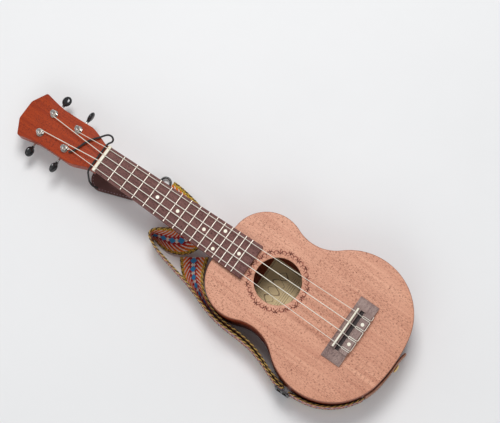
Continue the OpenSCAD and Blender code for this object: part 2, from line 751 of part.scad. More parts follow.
module gear_screw_1() { color([0.75, 0.75, 0.76]) gear_screw(0); }
module gear_screw_2() { color([0.75, 0.75, 0.76]) gear_screw(1); }
module gear_screw_3() { color([0.75, 0.75, 0.76]) gear_screw(2); }
module gear_screw_4() { color([0.75, 0.75, 0.76]) gear_screw(3); }

// Section of the worm's single thread: its radius against the angle round the axis
function worm_section() =
    let (tip = worm_pitch_r + tooth_height, root = worm_pitch_r - tooth_root,
         tip_a = 360 / tooth_pitch * (tooth_half - tooth_height * tooth_slope),
         root_a = 360 / tooth_pitch * (tooth_half + tooth_root * tooth_slope),
         mid_a = (tip_a + root_a) / 2, mid = (tip + root) / 2, back = 360 - 2 * root_a)
    [for (p = [[-mid_a, mid], [-tip_a, tip], [-tip_a / 3, tip], [tip_a / 3, tip], [tip_a, tip],
               [mid_a, mid], [root_a, root], [root_a + back / 4, root], [180, root],
               [root_a + back * 3 / 4, root], [-root_a, root]])
        p[1] * [cos(90 + p[0]), sin(90 + p[0])]];

module worm(i) {
    side = tuner_side[i];
    near_end = lug_x + lug_t + 0.4;
    at_tuner(i) translate([0, worm_y, worm_z]) rotate([0, 90, 0]) {
        twisted(worm_section(), worm_len, 360 * worm_turns, 24 * worm_turns);
        translate([0, 0, side > 0 ? worm_len / 2 - 0.2 : -button_reach])
            cylinder(r = shaft_r, h = button_reach - worm_len / 2 + 0.2);
        translate([0, 0, side > 0 ? -near_end : worm_len / 2 - 0.2])
            cylinder(r = shaft_r, h = near_end - worm_len / 2 + 0.2);
    }
}

module worm_1() { color([0.85, 0.85, 0.86]) worm(0); }
module worm_2() { color([0.85, 0.85, 0.86]) worm(1); }
module worm_3() { color([0.85, 0.85, 0.86]) worm(2); }
module worm_4() { color([0.85, 0.85, 0.86]) worm(3); }

// A lens-shaped disc on a short collar, turned about the shaft to its own rest angle
module button(i) {
    side = tuner_side[i];
    disc_r = 6.2;
    half_t = 2.7;
    collar = 2.1;
    at_tuner(i) translate([0, worm_y, worm_z]) rotate([button_turn[i], 0, 0]) difference() {
        union() {
            translate([side * button_reach, 0, 0]) rotate_extrude($fn = 64)
                polygon([[0, -half_t], [disc_r - 2, -half_t], [disc_r - 0.6, -1.6], [disc_r, -0.6],
                         [disc_r, 0.6], [disc_r - 0.6, 1.6], [disc_r - 2, half_t], [0, half_t]]);
            translate([side > 0 ? button_reach - disc_r - 1.2 : disc_r - button_reach - 3, 0, 0])
                rotate([0, 90, 0]) cylinder(r = collar, h = 4.2);
        }
        translate([side > 0 ? 0 : -button_reach, 0, 0]) rotate([0, 90, 0])
            cylinder(r = shaft_r, h = button_reach);
    }
}

module button_1() { color([0.06, 0.06, 0.06]) button(0); }
module button_2() { color([0.06, 0.06, 0.06]) button(1); }
module button_3() { color([0.06, 0.06, 0.06]) button(2); }
module button_4() { color([0.06, 0.06, 0.06]) button(3); }

// ---------- strap ----------

// The end pin's frame: z points out of the tail, and z = 0 is the outside of the side wall.
module end_pin_place() {
    translate([0, -join_y, edge_z]) rotate([90, 0, 0]) children();
}

module end_pin() {
    color([0.8, 0.62, 0.3]) end_pin_place() rotate_extrude() polygon([
        [0, -9], [1.6, -9], [pin_shaft_r, -7.5], [pin_shaft_r, tail_tab_t + 0.6],
        [pin_head_r - 0.8, tail_tab_t + 0.6], [pin_head_r, tail_tab_t + 1.4],
        [pin_head_r - 0.8, tail_tab_t + 2.4], [2.2, tail_tab_t + 3.2], [0, tail_tab_t + 3.4]]);
}

// Leather tab that follows the curve of the tail, from beyond the pin to the webbing
module strap_tail_tab() {
    path = concat([[19, -tail_skin_y(19) - 3.4]],
        [for (x = [10:-10:-50]) [x, -tail_skin_y(x) - 0.25]]);
    color([0.55, 0.3, 0.22]) difference() {
        translate([0, 0, edge_z - tail_tab_w / 2]) linear_extrude(tail_tab_w)
            polygon(thicken(path, tail_tab_t));
        end_pin_place() cylinder(r = pin_shaft_r, h = 20, center = true);
    }
}

// Distance of the body's outline from the origin's cross line at x, near the tail
function tail_skin_y(x) =
    let (split = lower_c.x + lower_r * cos(bearing(tail_c, lower_c)), far = abs(x))
    far < split ? sqrt(tail_r * tail_r - far * far) - tail_c.y
                : sqrt(lower_r * lower_r - pow(far - lower_c.x, 2)) - lower_c.y;

// A plan path and its copy moved outwards by t, as one closed outline
function thicken(path, t) = concat(path,
    [for (i = [len(path) - 1:-1:0])
        let (d = unit(path[min(i + 1, len(path) - 1)] - path[max(i - 1, 0)])) path[i] + t * [-d.y, d.x]]);

module strap_tail_webbing() {
    color([0.75, 0.35, 0.2]) ribbon(tail_webbing_route, strap_w, strap_t);
}

module strap_webbing() {
    color([0.75, 0.35, 0.2]) ribbon(webbing_route, strap_w, strap_t);
}

// Upright frame with three bars, which the webbing passes through
module strap_slider() {
    bar = 3;
    gap = 5;
    half_h = strap_w / 2 + 0.3;
    color([0.08, 0.08, 0.08]) translate([slider_x, slider_y, edge_z]) {
        for (k = [-1:1]) translate([0, k * (bar + gap) - bar / 2, -half_h])
            cube([slider_t, bar, 2 * half_h]);
        for (z = [-half_h, half_h - bar]) translate([0, -bar * 1.5 - gap, z])
            cube([slider_t, 3 * bar + 2 * gap, bar]);
    }
}

module strap_ring() {
    color([0.08, 0.08, 0.08]) translate([ring_c.x, ring_c.y, ring_z]) {
        for (side = [-1, 1]) {
            translate([side * ring_half.x, 0, 0]) rotate([0, 0, side > 0 ? -90 : 90])
                rotate_extrude(angle = 180) translate([ring_half.y, 0]) circle(r = ring_wire_r, $fn = 24);
            translate([-ring_half.x, side * ring_half.y, 0]) rotate([0, 90, 0])
                cylinder(r = ring_wire_r, h = 2 * ring_half.x, $fn = 24);
        }
    }
}

module strap_head_tab() {
    color([0.3, 0.13, 0.1]) at_tab() difference() {
        tab_leather();
        translate([0, rivet_y, 0]) cylinder(r = rivet_r, h = 20);
    }
}

// Moves its children to the middle of the ring's far bar, on the ground
module at_tab() {
    translate([ring_c.x, ring_c.y + ring_half.y, 0]) children();
}

// Point just inside a lower corner of the tab's wide strip: side is 1 on the right and -1 on the left
function tab_corner(side) =
    let (x = side * (tab_r - 0.5), y = 1 - tab_strip)
    tab_end + [x * cos(tab_turn) - y * sin(tab_turn), x * sin(tab_turn) + y * cos(tab_turn)];

// The tab lies flat, wraps the ring's bar and returns as a short flap over itself.
module tab_leather() {
    wrap_r = tab_bore_r + tab_t;
    translate([0, 0, tab_lift]) linear_extrude(tab_t) {
        polygon([[-tab_neck_w / 2, 0], [tab_neck_w / 2, 0], [tab_neck_w / 2, 16], tab_corner(1),
                 tab_corner(-1)]);
        translate(tab_end) rotate(tab_turn) {
            circle(r = tab_r);
            translate([-tab_r, -tab_strip]) square([2 * tab_r, tab_strip]);
        }
    }
    difference() {
        translate([-tab_neck_w / 2, 0, ring_z]) rotate([0, 90, 0]) cylinder(r = wrap_r, h = tab_neck_w);
        translate([-tab_neck_w, 0, ring_z]) rotate([0, 90, 0]) cylinder(r = tab_bore_r, h = 2 * tab_neck_w);
        translate([-tab_neck_w, 0, 0]) cube([2 * tab_neck_w, 10, 2 * wrap_r + 1]);
    }
    translate([-tab_neck_w / 2, 0, ring_z + tab_bore_r]) cube([tab_neck_w, rivet_y + 5, tab_t]);
}

module strap_rivet() {
    foot = 0.2;
    top = ring_z + tab_bore_r + tab_t;
    color([0.8, 0.8, 0.82]) at_tab() translate([0, rivet_y, 0]) {
        translate([0, 0, foot]) cylinder(r = 3, h = tab_lift - foot);
        translate([0, 0, foot]) cylinder(r = rivet_r, h = top);
        translate([0, 0, top]) cylinder(r = 3.4, h = 1.2);
    }
}

module strap_lace() {
    color([0.05, 0.05, 0.05]) tube(lace_route, lace_r);
}

soundboard();
back_plate();
left_side();
right_side();
neck_block();
tail_block();
linings();
top_braces();
back_braces();
bridge_plate();
label();
neck();
fretboard();
frets();
position_dots();
nut();
bridge();
saddle();
bridge_screws();
bridge_dots();
string_1();
string_2();
string_3();
string_4();
tuner_plates();
tuner_plate_screws();
post_bushings();
post_1();
post_2();
post_3();
post_4();
gear_1();
gear_2();
gear_3();
gear_4();
gear_screw_1();
gear_screw_2();
gear_screw_3();
gear_screw_4();
winding_1();
winding_2();
winding_3();
winding_4();
worm_1();
worm_2();
worm_3();
worm_4();
button_1();
button_2();
button_3();
button_4();
end_pin();
strap_tail_tab();
strap_tail_webbing();
strap_slider();
strap_webbing();
strap_ring();
strap_head_tab();
strap_rivet();
strap_lace();
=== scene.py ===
"""Looks for a soprano ukulele that lies on its back with its shoulder strap, built round its frame.

Metres. +X is to the right seen from the front, +Y runs from the tail to the headstock, and +Z
comes out of the soundboard. Every piece is a surface worked out with numpy, or a copy of a frame
part with its edges rounded.
"""

import math

import bmesh
import bpy
import numpy as np
from mathutils import Matrix, Vector


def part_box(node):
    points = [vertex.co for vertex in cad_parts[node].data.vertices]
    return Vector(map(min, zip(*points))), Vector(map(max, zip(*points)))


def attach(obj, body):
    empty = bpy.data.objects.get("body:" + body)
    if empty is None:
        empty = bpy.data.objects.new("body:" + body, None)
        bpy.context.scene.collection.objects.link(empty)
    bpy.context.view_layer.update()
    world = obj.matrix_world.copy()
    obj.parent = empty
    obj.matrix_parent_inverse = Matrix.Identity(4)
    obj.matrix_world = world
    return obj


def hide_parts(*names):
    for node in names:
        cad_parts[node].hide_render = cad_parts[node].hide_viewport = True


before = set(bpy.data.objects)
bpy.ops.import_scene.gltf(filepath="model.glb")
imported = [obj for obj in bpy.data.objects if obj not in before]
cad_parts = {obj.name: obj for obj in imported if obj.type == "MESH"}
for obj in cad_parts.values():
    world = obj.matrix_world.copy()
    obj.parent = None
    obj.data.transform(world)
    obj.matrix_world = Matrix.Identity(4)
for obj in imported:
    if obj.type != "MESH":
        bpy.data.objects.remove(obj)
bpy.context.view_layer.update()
MM = 0.001

# Heights and places that the frame gives
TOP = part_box("soundboard")[1].z
BODY_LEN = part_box("soundboard")[1].y * 2
HEAD_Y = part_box("nut")[1].y
NUT_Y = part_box("nut")[0].y
SADDLE_Y = (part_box("saddle")[0].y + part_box("saddle")[1].y) / 2
NUT_TO_HOLE = 250.5 * MM
BOARD_LEN = 213.7 * MM
HOLE = np.array([0.0, NUT_Y - NUT_TO_HOLE])
HOLE_R = 28 * MM
PLATE_T = 1.8 * MM
EDGE_R = 1.3 * MM
HEAD_TILT = math.radians(12)
HEAD_T = 13.5 * MM


# ---------- whole arrays ----------

def stacked(*parts):
    """The parts spread over one grid, as the last axis of an array."""
    return np.stack(np.broadcast_arrays(*parts), -1)


def full_turn(count):
    """Angles evenly round a circle."""
    return np.linspace(0, 2 * math.pi, count, endpoint=False)


def unit_rows(vectors):
    """Each row divided by its length."""
    return vectors / np.linalg.norm(vectors, axis=1)[:, None]


def level(points, z):
    """Plan points at height z."""
    return np.column_stack([points, np.full(len(points), z)])


def loop_outward(points):
    """Direction square to a closed plan outline at each point, outward where it runs anticlockwise."""
    tangent = np.roll(points, -1, 0) - np.roll(points, 1, 0)
    return unit_rows(np.stack([tangent[:, 1], -tangent[:, 0]], 1))


# ---------- shells: (vertices, quads, triangles) of a closed surface ----------

def signed_volume(vertices, quads, triangles):
    """Sum of the tetrahedra between the origin and each face: negative where faces look inwards."""
    def total(a, b, c):
        return np.einsum("ij,ij->", vertices[a], np.cross(vertices[b], vertices[c])) / 6
    return (total(*quads[:, [0, 1, 2]].T) + total(*quads[:, [0, 2, 3]].T) + total(*triangles.T))


def grid_shell(points, wrap_rows=False):
    """Closed shell over points[row, column]. Columns join end to start. Rows do too if wrap_rows
    is set, and otherwise the first and the last row each close on their own middle."""
    rows, columns = points.shape[:2]
    index = np.arange(rows * columns).reshape(rows, columns)
    here = index if wrap_rows else index[:-1]
    there = np.roll(index, -1, 0) if wrap_rows else index[1:]
    quads = np.stack([here, np.roll(here, -1, 1), np.roll(there, -1, 1), there], -1).reshape(-1, 4)
    vertices = points.reshape(-1, 3)
    triangles = np.empty((0, 3), int)
    if not wrap_rows:
        vertices = np.vstack([vertices, points[[0, -1]].mean(1)])
        middle = np.full(columns, rows * columns)
        triangles = np.vstack([
            np.stack([np.roll(index[0], -1), index[0], middle], -1),
            np.stack([index[-1], np.roll(index[-1], -1), middle + 1], -1)])
    if signed_volume(vertices, quads, triangles) < 0:
        quads, triangles = quads[:, ::-1], triangles[:, ::-1]
    return vertices, quads, triangles


def in_scene(name, data):
    """A new object that holds data, at the origin."""
    obj = bpy.data.objects.new(name, data)
    bpy.context.scene.collection.objects.link(obj)
    return obj


def finish_piece(obj, slot, body, replaces):
    """Gives a piece its material and body, and hides the frame parts that it stands for."""
    obj.data.materials.clear()
    obj.data.materials.append(MATERIALS[slot])
    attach(obj, body)
    if replaces:
        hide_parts(*replaces)
    return obj


def piece(name, shells, slot, body="root", replaces=(), flow=None, sharp=40, material=None):
    """One object made of closed shells. flow is a vector for each grid point of each shell, which
    materials read as distances along and across the surface."""
    vertices, faces, start = [], [], 0
    for shell_vertices, quads, triangles in shells:
        vertices.append(shell_vertices)
        faces += (quads + start).tolist() + (triangles + start).tolist()
        start += len(shell_vertices)
    mesh = bpy.data.meshes.new(name)
    mesh.from_pydata(np.vstack(vertices).tolist(), [], faces)
    mesh.shade_smooth()
    mesh.set_sharp_from_angle(angle=math.radians(sharp))
    if flow is not None:
        layer = mesh.attributes.new("flow", "FLOAT_VECTOR", "POINT")
        rows = [with_middles(f, len(s[0])) for f, s in zip(flow, shells)]
        layer.data.foreach_set("vector", np.vstack(rows).astype(np.float32).ravel())
    obj = finish_piece(in_scene(name, mesh), slot, body, replaces)
    if material:
        obj.data.materials[0] = MATERIALS[material]
    return obj


def with_middles(flow, count):
    """A shell's flow, with the values of its two closing points added where it has them."""
    flat = flow.reshape(-1, 3)
    return flat if len(flat) == count else np.vstack([flat, flow[0].mean(0), flow[-1].mean(0)])


def rounded_copy(node, slot, edge=0.0, body="root", sharp=35):
    """A copy of a frame part with its corners joined, flat faces made whole, curves shaded smooth
    and edges rounded by edge metres."""
    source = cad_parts[node].data
    corners = np.zeros(len(source.vertices) * 3)
    source.vertices.foreach_get("co", corners)
    mesh = bpy.data.meshes.new(node + "_finished")
    mesh.from_pydata(corners.reshape(-1, 3).tolist(), [], [list(p.vertices) for p in source.polygons])
    work = bmesh.new()
    work.from_mesh(mesh)
    bmesh.ops.remove_doubles(work, verts=work.verts, dist=2e-6)
    bmesh.ops.dissolve_limit(work, angle_limit=math.radians(1), verts=work.verts, edges=work.edges)
    work.to_mesh(mesh)
    work.free()
    mesh.shade_smooth()
    mesh.set_sharp_from_angle(angle=math.radians(sharp))
    obj = in_scene(node + "_finished", mesh)
    if edge:
        bevel = obj.modifiers.new("rounded edges", "BEVEL")
        bevel.width = edge
        bevel.segments = 2
        bevel.limit_method = "ANGLE"
        bevel.angle_limit = math.radians(sharp)
        bevel.harden_normals = True
    return finish_piece(obj, slot, body, [node])


# ---------- curves and tubes ----------

def corner_rounded(points, bend, steps=5):
    """Each inner corner becomes a quadratic curve that starts and ends bend metres from it, or
    half way to the next corner where that is nearer."""
    p = np.asarray(points, float)
    back, ahead = p[:-2] - p[1:-1], p[2:] - p[1:-1]
    reach_back = np.minimum(bend / np.linalg.norm(back[:, :3], axis=1), 0.49)[:, None]
    reach_ahead = np.minimum(bend / np.linalg.norm(ahead[:, :3], axis=1), 0.49)[:, None]
    t = np.linspace(0, 1, steps)[None, :, None]
    start, end = (p[1:-1] + back * reach_back)[:, None], (p[1:-1] + ahead * reach_ahead)[:, None]
    curve = (1 - t) ** 2 * start + 2 * t * (1 - t) * p[1:-1][:, None] + t ** 2 * end
    return np.vstack([p[:1], curve.reshape(-1, p.shape[1]), p[-1:]])


def evenly_spaced(points, step):
    """The same line with a point about every step metres along it."""
    p = np.asarray(points, float)
    along = run_of(p)
    wanted = np.linspace(0, along[-1], max(2, round(along[-1] / step) + 1))
    return np.stack([np.interp(wanted, along, p[:, k]) for k in range(p.shape[1])], 1)


def softened(points, passes):
    """The line after each inner point has moved half way to its neighbours' middle, passes times."""
    p = np.array(points, float)
    for _ in range(passes):
        p[1:-1] = p[1:-1] / 2 + (p[:-2] + p[2:]) / 4
    return p


def run_of(points):
    """Distance along a line at each of its points."""
    return np.r_[0, np.cumsum(np.linalg.norm(np.diff(points[:, :3], axis=0), axis=1))]


def directions(points):
    """Direction of a line at each of its points."""
    return unit_rows(np.gradient(points, axis=0))


def tube(path, radius, sides=12, lean=(0.31, 0.11, 0.94)):
    """Shell of circles of the given radius square to the path, and the flow along and round it."""
    tangent = directions(path)
    side = unit_rows(np.cross(tangent, lean))
    up = np.cross(side, tangent)
    a = full_turn(sides)
    radius = np.broadcast_to(radius, len(path))[:, None, None]
    rings = path[:, None] + radius * (np.cos(a)[None, :, None] * side[:, None]
                                      + np.sin(a)[None, :, None] * up[:, None])
    flow = stacked(run_of(path)[:, None], np.sin(a)[None], np.cos(a)[None])
    return grid_shell(rings), flow


def turned(profile, matrix, sides=48):
    """Shell of revolution: profile rows of (radius, height) turned about the matrix's own z."""
    a = full_turn(sides)
    r, z = np.asarray(profile, float).T
    rings = stacked(r[:, None] * np.cos(a), r[:, None] * np.sin(a), z[:, None])
    return grid_shell(placed(rings, matrix))


def placed(points, matrix):
    """The points moved by a matrix."""
    m = np.array(matrix)
    return points @ m[:3, :3].T + m[:3, 3]


# ---------- body ----------

def end_radius(x, depth, r):
    """Radius of the centred end arc tangent to a corner arc of radius r."""
    return (x * x + depth * depth - r * r) / (2 * (depth - r))


def body_outline(count):
    """Points round the body and the outward direction at each, evenly spaced. Each half is five
    tangent arcs: tail, lower bout, waist, upper bout and shoulder."""
    half = BODY_LEN / 2
    lower_r, upper_r, waist = 73.5 * MM, 45 * MM, 59.7 * MM
    lower_rise, upper_half_w, upper_drop = 75 * MM, 68 * MM, 45.5 * MM
    lower = np.array([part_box("soundboard")[1].x - lower_r, lower_rise - half])
    upper = np.array([upper_half_w - upper_r, half - upper_drop])
    tail_r = end_radius(lower[0], lower[1] + half, lower_r)
    shoulder_r = end_radius(upper[0], half - upper[1], upper_r)
    tail, shoulder = np.array([0, tail_r - half]), np.array([0, half - shoulder_r])
    low_gap, up_gap = waist - lower[0], waist - upper[0]
    low_k, up_k = 1 / (2 * (lower_r - low_gap)), 1 / (2 * (upper_r - up_gap))
    a, b = low_k - up_k, 2 * (upper[1] * up_k - lower[1] * low_k)
    c = (low_k * (low_gap ** 2 + lower[1] ** 2 - lower_r ** 2)
         - up_k * (up_gap ** 2 + upper[1] ** 2 - upper_r ** 2))
    waist_y = next(y for y in np.roots([a, b, c]).real if lower[1] < y < upper[1])
    waist_r = (low_gap ** 2 + (waist_y - lower[1]) ** 2 - lower_r ** 2) * low_k
    pinch = np.array([waist + waist_r, waist_y])

    def bearing(p, q):
        return math.atan2(q[1] - p[1], q[0] - p[0])
    arcs = [
        (tail, tail_r, -math.pi / 2, bearing(tail, lower)),
        (lower, lower_r, bearing(tail, lower), bearing(lower, pinch)),
        (pinch, waist_r, bearing(pinch, lower) % (2 * math.pi), bearing(pinch, upper)),
        (upper, upper_r, bearing(upper, pinch), bearing(shoulder, upper)),
        (shoulder, shoulder_r, bearing(shoulder, upper), math.pi / 2)]
    right = np.vstack([
        c + r * np.stack([np.cos(t), np.sin(t)], 1)
        for c, r, t0, t1 in arcs for t in [np.linspace(t0, t1, 200, endpoint=False)]] + [[[0, half]]])
    ring = np.vstack([right, right[-2:0:-1] * [-1, 1], right[:1]])
    ring = evenly_spaced(ring, run_of(ring)[-1] / count)[:count]
    return ring, loop_outward(ring)


OUTLINE, OUTWARD = body_outline(480)


def body_ring(inset, z):
    """The body's outline moved inwards by inset, at height z."""
    return level(OUTLINE - OUTWARD * inset, z)


def disc_ring(centre, radius, z):
    """A circle whose points lie in the same directions from centre as the outline's points."""
    return level(centre + unit_rows(OUTLINE - centre) * radius, z)


def between(first, last, count):
    """Rings that change evenly from first to last, without those two."""
    shares = np.linspace(0, 1, count + 2)[1:-1, None, None]
    return list(first * (1 - shares) + last * shares)


def quarter_round(radius, steps=4):
    """Insets and drops of a rounded edge, from the wall to the flat."""
    a = np.linspace(0, math.pi / 2, steps)
    return np.stack([radius * (1 - np.cos(a)), radius * (1 - np.sin(a))], 1)


def make_soundboard():
    """A plate with a rounded rim and a round hole. Rings run out from the hole under the plate,
    over the rim, back to the hole across the top and down its wall."""
    under = TOP - PLATE_T
    rim = [body_ring(inset, TOP - drop) for inset, drop in quarter_round(EDGE_R)]
    lip = [disc_ring(HOLE, HOLE_R + inset, TOP - drop) for inset, drop in quarter_round(0.5 * MM)[::-1]]
    foot, hole_foot = body_ring(0, under), disc_ring(HOLE, HOLE_R, under)
    count = 8
    rings = [hole_foot, *between(hole_foot, foot, count), foot, *rim, *between(rim[-1], lip[0], count),
             *lip]
    stained = count + 1
    share = np.zeros((len(rings), len(OUTLINE), 3))
    share[stained:stained + len(rim), :, 0] = np.array([1, 1, 1, 0.25])[:, None]
    piece("soundboard_finished", [grid_shell(np.array(rings), wrap_rows=True)], "soundboard_mahogany",
          replaces=["soundboard"], flow=[share])


def make_back():
    """A plate with a rounded rim. Rings run from its middle over the rim to its middle again."""
    middle = np.array([0.0, 0.0])
    rim = [body_ring(inset, drop) for inset, drop in quarter_round(EDGE_R)[::-1]]
    top = body_ring(0, PLATE_T)
    start, end = disc_ring(middle, 2 * MM, 0), disc_ring(middle, 2 * MM, PLATE_T)
    rings = [start, *between(start, rim[0], 8), *rim, top, *between(top, end, 8), end]
    rows = np.array(rings)
    piece("back_finished", [grid_shell(rows)], "side_mahogany", replaces=["back_plate"], flow=[rows])


def make_sides():
    """The bent sides: a band round the outline with its inner wall one plate's thickness in."""
    z_low, z_high = PLATE_T, TOP - PLATE_T
    steps = np.linspace(z_low, z_high, 8)
    rings = np.array([body_ring(0, z) for z in steps] + [body_ring(PLATE_T, z) for z in steps[::-1]])
    along = np.arange(len(OUTLINE)) / len(OUTLINE) * run_of(np.vstack([OUTLINE, OUTLINE[:1]]))[-1]
    along = np.abs(along - along[len(OUTLINE) // 2])
    flow = stacked(rings[..., 2], along[None], 0.0)
    piece("sides_finished", [grid_shell(rings, wrap_rows=True)], "side_mahogany",
          replaces=["left_side", "right_side"], flow=[flow])


# ---------- rosette and label ----------

def stroke(centreline, width, height=0.04 * MM):
    """Thin raised line over the top, width wide, that tapers to a quarter of that at both ends."""
    p = np.asarray(centreline, float)
    tangent = directions(p)
    across = np.stack([-tangent[:, 1], tangent[:, 0]], 1)
    t = np.linspace(0, 1, len(p))
    half = (width / 2 * (0.25 + 0.75 * np.sin(math.pi * t) ** 0.6))[:, None]
    low, high = np.full((len(p), 1), TOP - height), np.full((len(p), 1), TOP + height)
    left, right = p + across * half, p - across * half
    rows = np.stack([np.hstack([left, low]), np.hstack([left, high]), np.hstack([right, high]),
                     np.hstack([right, low])], 1)
    return grid_shell(rows)


ROSETTE_R = 34 * MM


def ring_point(r, a):
    """Plan points at distance r and angle a from the middle of the soundhole."""
    return HOLE + np.stack([r * np.cos(a), r * np.sin(a)], -1)


def scroll(a, side):
    """One scroll: a shrinking spiral of a turn and a fifth, whose middle drifts back along the ring."""
    t = np.linspace(0, 1, 30)
    turn = math.radians(430) * t ** 1.15
    curl_r = 3.0 * MM * (1 - 0.66 * t)
    r = 33.9 * MM - curl_r * np.cos(turn)
    reach = 3.9 * MM + curl_r * np.sin(turn) - 2.2 * MM * t
    return ring_point(r, a + side * (reach + 1.4 * MM) / ROSETTE_R)


def leaf(a, side, r0, r1, sweep):
    """A short leaf that leans away from a at radius r0 and ends at r1."""
    t = np.linspace(0, 1, 8)
    r = r0 + (r1 - r0) * t
    return ring_point(r, a + side * sweep * np.sin(t * math.pi / 2) / ROSETTE_R)


def make_rosette():
    """Burnt ornament round the soundhole: nine repeats of two facing scrolls, a spear between
    them, and leaf tufts between the repeats."""
    repeats = 9
    shells = []
    for k in range(repeats):
        a = 2 * math.pi * (k + 0.5) / repeats + math.pi / 2
        gap = math.pi / repeats
        shells.append(stroke(leaf(a, 1, 31 * MM, 37.8 * MM, 0.0), 1.7 * MM))
        for side in (-1, 1):
            shells.append(stroke(scroll(a, side), 1.5 * MM))
            shells.append(stroke(leaf(a, side, 32 * MM, 36.6 * MM, 2.3 * MM), 1.2 * MM))
            shells.append(stroke(leaf(a + gap, side, 36.8 * MM, 33.4 * MM, 4.6 * MM), 1.25 * MM))
            shells.append(stroke(leaf(a + gap, side, 34.6 * MM, 38.2 * MM, 2.4 * MM), 1.3 * MM))
            shells.append(stroke(leaf(a + gap, side, 34.4 * MM, 31.2 * MM, 2.8 * MM), 1.1 * MM))
        shells.append(stroke(leaf(a + gap, 1, 33.2 * MM, 38.7 * MM, 0.0), 1.4 * MM))
    piece("rosette", shells, "soundboard_mahogany", material="burnt_wood", sharp=80)


# ---------- neck and headstock ----------

def smoothstep(x):
    """Rises smoothly from 0 to 1 as x does."""
    x = np.clip(x, 0, 1)
    return x * x * (3 - 2 * x)


def neck_shaft():
    """Sections from the body to the nut. Each is x = w*cos(a)^q, z = top - d*sin(a)^p: a flat-topped
    oval on the shaft, and a boxier, deeper one on the heel, where x also shrinks with depth."""
    join, heel_end, sweep = BODY_LEN / 2, 12 * MM, 34 * MM
    foot_z, corner, rise, nut_depth = 3 * MM, 3 * MM, 8 * MM, 13 * MM
    bend = np.linspace(math.pi, math.pi / 2, 18)
    turn = np.linspace(0.3, 1.57, 5)
    heel_y = np.r_[np.linspace(0, heel_end - corner, 4), heel_end - corner * (1 - np.sin(turn)),
                   heel_end + sweep * (1 + np.cos(bend[1:]))]
    heel_z = np.r_[np.full(4, foot_z), foot_z + rise * (1 - np.cos(turn)),
                   foot_z + rise + sweep * np.sin(bend[1:])]
    shaft_y = np.linspace(heel_end + sweep, HEAD_Y - join, 24)[1:]
    shaft_z = np.linspace(heel_z[-1], TOP - nut_depth, 24)[1:]
    y, low = join + np.r_[heel_y, shaft_y], np.r_[heel_z, shaft_z]
    share = (NUT_Y - y) / BOARD_LEN
    nut_w, end_w = 34.2 * MM, 46 * MM
    half_w = (nut_w + (end_w - nut_w) * share) / 2
    deep = smoothstep((TOP - low - 16 * MM) / (38 * MM))
    q, p = (1 - 0.45 * deep)[:, None], (0.8 - 0.42 * deep)[:, None]
    a = np.linspace(0, math.pi, 41)[None]
    drop = (TOP - low)[:, None] * np.sin(a) ** p
    waist = 1 - 0.42 * deep[:, None] * (drop / (57 * MM)) ** 0.9
    x = half_w[:, None] * np.sign(np.cos(a)) * np.abs(np.cos(a)) ** q * waist
    rows = stacked(x, y[:, None], TOP - drop)
    return grid_shell(rows), rows


def head_frame():
    """The headstock's frame: its face is z = 0, and y runs up it from the nut."""
    return Matrix.Translation((0, HEAD_Y, TOP)) @ Matrix.Rotation(-HEAD_TILT, 4, "X")


def rounded_outline(points, radius):
    """A closed outline with each corner rounded, started half way along its last side."""
    p = np.asarray(points, float)
    start = (p[-1] + p[0]) / 2
    line = corner_rounded(np.vstack([start, p, start]), radius, steps=7)
    return evenly_spaced(line, 1.2 * MM)[:-1]


def slab(outline, z_low, z_high, edge, matrix):
    """Shell of a flat board with rounded edges, placed by matrix, and its grid before placing."""
    outward = loop_outward(outline)
    middle = outline.mean(0)
    if ((outline - middle) * outward).sum() < 0:
        outward = -outward
    low = [(inset, z_low + drop) for inset, drop in quarter_round(edge)[::-1]]
    high = [(inset, z_high - drop) for inset, drop in quarter_round(edge)]
    rings = [level(outline - outward * inset, z) for inset, z in low + high]
    inner = [np.column_stack([middle + (r[:, :2] - middle) * 0.4, r[:, 2]]) for r in (rings[0], rings[-1])]
    rows = np.array([inner[0], *rings, inner[1]])
    return grid_shell(placed(rows, matrix)), rows


def make_neck():
    """The shaft with its heel, and the headstock, which is a flared slab tilted back."""
    half = np.array([[17.6, 0], [17.6, 8], [25, 28.6], [25.9, 34], [25.4, 56], [25.4, 79],
                     [28, 94], [31, 109], [12.5, 120]]) * MM
    outline = rounded_outline(np.vstack([half, half[::-1] * [-1, 1]]), 2.2 * MM)
    shaft, shaft_flow = neck_shaft()
    head, head_flow = slab(outline, -HEAD_T, 0, 0.9 * MM, head_frame())
    piece("neck_finished", [shaft, head], "neck_mahogany", replaces=["neck"],
          flow=[shaft_flow, head_flow + [0.11, 0.05, 0]])


# ---------- strings ----------

STRING_D = np.array([0.7, 1.0, 0.9, 0.7]) * MM
POST_SIDE = [-1, -1, 1, 1]
POST_Y = np.array([45.9, 84.4, 84.4, 45.9]) * MM
POST_X = 14 * MM
WAIST_R = 2.5 * MM
WAIST_Z = 3.4 * MM


def tuner_frame(i):
    """The frame of tuner i: z is its post's axis, and z = 0 is the headstock's face."""
    return head_frame() @ Matrix.Translation((POST_SIDE[i] * POST_X, POST_Y[i], 0))


